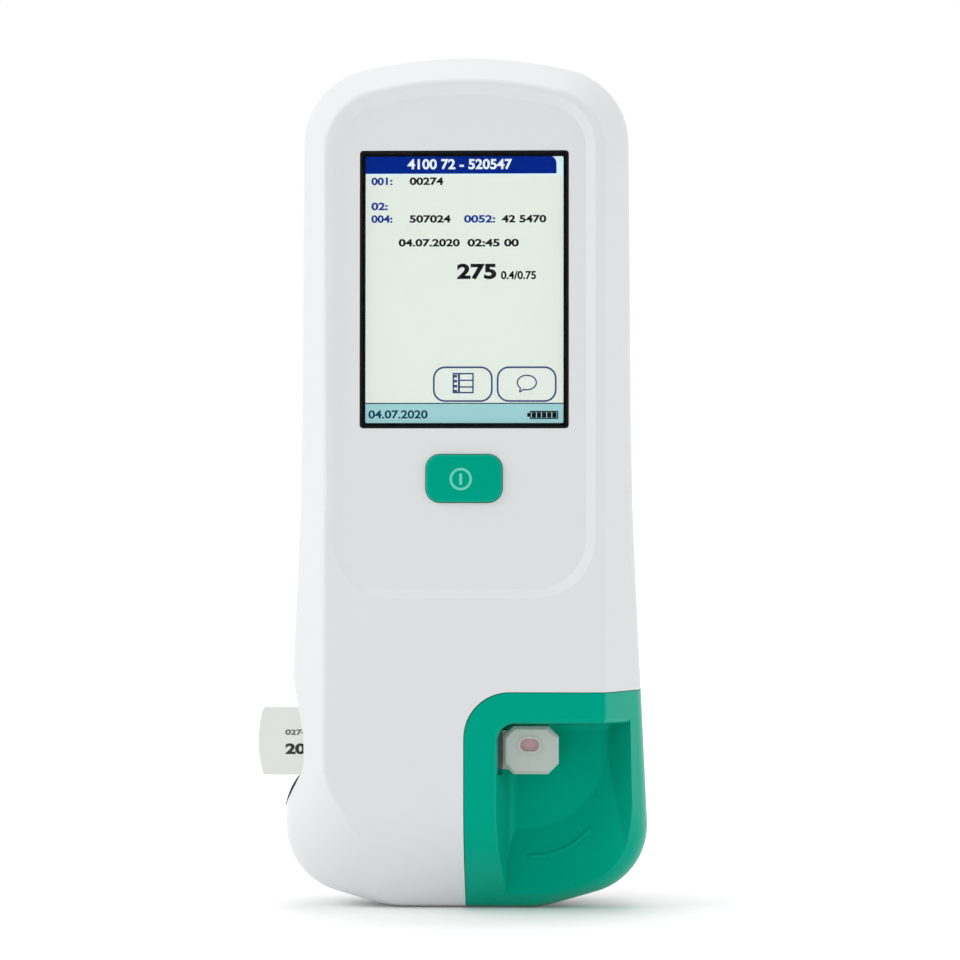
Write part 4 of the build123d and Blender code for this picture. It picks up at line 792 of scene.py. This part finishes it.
# PC and ABS blend, moulded black and rough, so that no stray light reaches the lens.
tray_black = moulded("moulded_black_chamber", "#161819", "#1F2223", 0.4 * MM, 0.02 * MM, 0.7)
finish_node(tray_black, "chamber_tray", "optics_block")
# Aluminium, milled: bright, with the cutter's fine marks.
milled = sheet_metal("milled_aluminium", "#BEC0C2", "#D9DADB", 0.2 * MM, 0.28, 0.42)
finish_node(milled, "heater_plate")
# Coated glass with a violet cast up to where the lens's front ends, and then its satin black barrel.
finish_node(parted("lens_barrel_and_coated_glass", 1, LENS_GLASS_END_Y, "#3A2F5C", "#141517", 0.06, 0.5),
            "camera_lens")
# Diodes cast in water-clear epoxy: smooth and bright, faintly green from the chips inside.
clear_epoxy = moulded("water_clear_epoxy", "#E2EEE8", "#EDF5F1", 0.5 * MM, 0.004 * MM, 0.14, 3 * MM,
                      own={"Transmission Weight": 0.6, "IOR": 1.54})
finish_node(clear_epoxy, "light_diodes")


# Test strip: a moulded cassette with an octagonal collar, a sample well with a pink pad, and a membrane in
# its back. The pad and the membrane are pressed into it.
COLLAR_FROM_X = 10.9

# High-impact polystyrene, slightly see-through: the collar is a grey-white with a faint green painted in,
# a painted reflection of the green cover around it, and the long body behind it is painted smoke grey, a
# painted shadow where it lies in the shade of the wall's opening.
finish_node(parted("strip_polystyrene_painted_shade", 0, COLLAR_FROM_X, "#5E6A65", "#BAC4BF", 0.42, 0.38),
            "test_strip")


def woven(name, dark, pale, thread, depth):
    """Pressed fibre cloth: two crossed waves of threads, one thread apart, in its colour and its relief."""
    made, tree, shader, place = blank_material(name)
    waves = [node(tree, "ShaderNodeTexWave", {
        "Vector": place, "Scale": math.tau / (20 * thread), "Distortion": 1.5, "Detail Scale": 2.0},
        wave_type="BANDS", bands_direction=way) for way in ("X", "Z")]
    cloth = node(tree, "ShaderNodeMath", {0: waves[0].outputs["Fac"], 1: waves[1].outputs["Fac"]},
                 operation="MULTIPLY")
    tint = node(tree, "ShaderNodeMix", {
        "Factor": cloth.outputs[0], "A": linear(dark), "B": linear(pale)}, data_type="RGBA")
    relief = node(tree, "ShaderNodeBump", {
        "Height": cloth.outputs[0], "Distance": depth, "Strength": 0.8})
    tree.links.new(tint.outputs["Result"], shader.inputs["Base Color"])
    tree.links.new(relief.outputs[0], shader.inputs["Normal"])
    shader.inputs["Roughness"].default_value = 0.95
    return made


# Glass fibre pad soaked with a pink conjugate: a matt weave of 0.35 mm threads.
finish_node(woven("pink_conjugate_pad", "#C9A2A8", "#DCBEC2", 0.35 * MM, 0.05 * MM), "sample_pad")
# Nitrocellulose membrane: matt paper white with a fibre pattern of 0.25 mm.
finish_node(woven("nitrocellulose_membrane", "#E3E4DF", "#F2F2EE", 0.25 * MM, 0.02 * MM), "strip_membrane")


# Code chip: a flat moulded case of pale, slightly milky plastic that slides into a black socket on the
# measuring board. It is printed with plain figures, which run on under the case's edge. The charging
# socket in the base is of the same black plastic.
CHIP_FRONT_Y = -4.0

# Styrene plastic, moulded smooth: a milky white with a trace of green, softly glossy.
milky = moulded("milky_moulded_plastic", "#EAEEE9", "#F0F3EF", 0.5 * MM, 0.006 * MM, 0.32, 12 * MM)
finish_node(milky, "code_chip")
# Glass-filled nylon, moulded black: satin, with an even grain.
socket_black = moulded("moulded_black_connector", "#191A1B", "#222324", 0.35 * MM, 0.012 * MM, 0.48)
finish_node(socket_black, "chip_socket", "power_jack")

chip_front = Vector((0.0, CHIP_FRONT_Y * MM, 0.0))
bold = stood(figures([("207", -52.3, -43.4, 43.6, 3.2, 0.045)]), chip_front, 0.0, 0.0, INK_THICKNESS)
small = stood(figures([("0274", -52.3, -46.1, 49.2, 1.6, 0.03)]), chip_front, 0.0, 0.0, INK_THICKNESS)
# Printing inks, black and grey: thin, half matt, a little uneven.
black_ink = moulded("printed_black_ink", "#111213", "#1A1B1C", 0.2 * MM, 0.003 * MM, 0.5, 2 * MM)
grey_ink = moulded("printed_grey_ink", "#53585A", "#5E6365", 0.2 * MM, 0.003 * MM, 0.5, 2 * MM)
finish_piece(bold, "chip_figures_large", black_ink, "code_chip")
finish_piece(small, "chip_figures_small", grey_ink, "code_chip")


# Battery: cells in a dark shrink-wrapped block, which lies in the rear half's well against three gilded
# spring contacts and comes out backwards once its cover is off.

# PVC shrink film: near-black, smooth, with slack wrinkles about 6 mm apart.
shrink = moulded("pvc_shrink_film", "#1D1F23", "#26282D", 6 * MM, 0.12 * MM, 0.3, 20 * MM)
finish_node(shrink, "battery_pack")
# Bronze strip, gold-plated: warm yellow with rolling marks.
gilded = sheet_metal("gold_plated_bronze", "#C99B45", "#E0B864", 0.15 * MM, 0.2, 0.35)
finish_node(gilded, "battery_contacts")


# In the base: a moulded black carrier, set into the rear half, with four gilded pins for a charging stand.
# Below the carrier's face, just above this z, there are only the pins.
CARRIER_FACE_Z = 0.79
finish_node(parted("gilded_pins_in_black_carrier", 2, CARRIER_FACE_Z, "#D6A850", "#1B1C1D", 0.28, 0.5,
                   under_metal=1.0), "dock_contacts")


# Infrared window in the top: a small moulded pane with a flange round it, which lies inside the case and
# keeps the pane from coming out of its opening.

# Dyed polycarbonate, polished: it looks black-red and lets only infrared through.
window_red = moulded("dyed_infrared_polycarbonate", "#2A060C", "#35080F", 0.6 * MM, 0.002 * MM, 0.12)
finish_node(window_red, "infrared_window")


# Feet: four round pads of moulded grey silicone rubber, glued into shallow seats in the back, on which the
# analyzer lies when it is put down flat.

# Silicone rubber: matt, a little dusty, with a fine texture drawn at 0.35 mm.
silicone = moulded("grey_silicone_rubber", "#5E6062", "#6B6D6F", 0.35 * MM, 0.02 * MM, 0.82, 5 * MM)
finish_node(silicone, "rubber_foot_1", "rubber_foot_2", "rubber_foot_3", "rubber_foot_4")


# Seam shadow: a thin, tapered blade of dark grey in the seam between the case halves, on the finger notch's
# lower slope, which paints the shadow of the seam's gap there. Its inner part lies inside the case.
SHADOW_BLADE_PLACE = (-50.25, 33.2)
SHADOW_BLADE_HALF_WIDTH = 0.92
SHADOW_BLADE_HALF_LENGTH = 5.0
SHADOW_BLADE_LEAN = math.radians(26.5)
SHADOW_BLADE_THICKNESS = 0.5
# Towards its lower end the blade is drawn in, step by step: how far down a step begins, and its share.
SHADOW_BLADE_STEPS = [(-0.4, 0.93), (-1.6, 0.90), (-2.8, 0.88), (-3.9, 0.85)]

bpy.ops.mesh.primitive_circle_add(vertices=48, radius=1.0, fill_type="NGON")
shadow_blade = bpy.context.object
shadow_blade.scale = (SHADOW_BLADE_HALF_WIDTH, SHADOW_BLADE_HALF_LENGTH, 1.0)
bpy.ops.object.transform_apply(location=False, rotation=False, scale=True)
for limit, share in SHADOW_BLADE_STEPS:
    pick(shadow_blade, "vertices", lambda at: at.y < limit)
    bpy.ops.transform.resize(value=(share, 1.0, 1.0), center_override=(0.0, 0.0, 0.0))
    bpy.ops.object.mode_set(mode="OBJECT")
shadow_blade.rotation_euler = (0.0, 0.0, -SHADOW_BLADE_LEAN)
shadow_blade.location = (*SHADOW_BLADE_PLACE, 0.0)
bpy.ops.object.transform_apply(location=True, rotation=True, scale=False)
stood(shadow_blade, Vector((0.0, SHADOW_BLADE_THICKNESS / 2 * MM, 0.0)), 0.0, 0.0, SHADOW_BLADE_THICKNESS)
# Painted shadow: a matt dark grey, with a fine grain drawn at 0.3 mm.
seam_shadow_paint = moulded("painted_seam_shadow", "#484A4B", "#545657", 0.3 * MM, 0.01 * MM, 0.75, 3 * MM)
finish_piece(shadow_blade, "seam_shadow_blade", seam_shadow_paint, "housing")
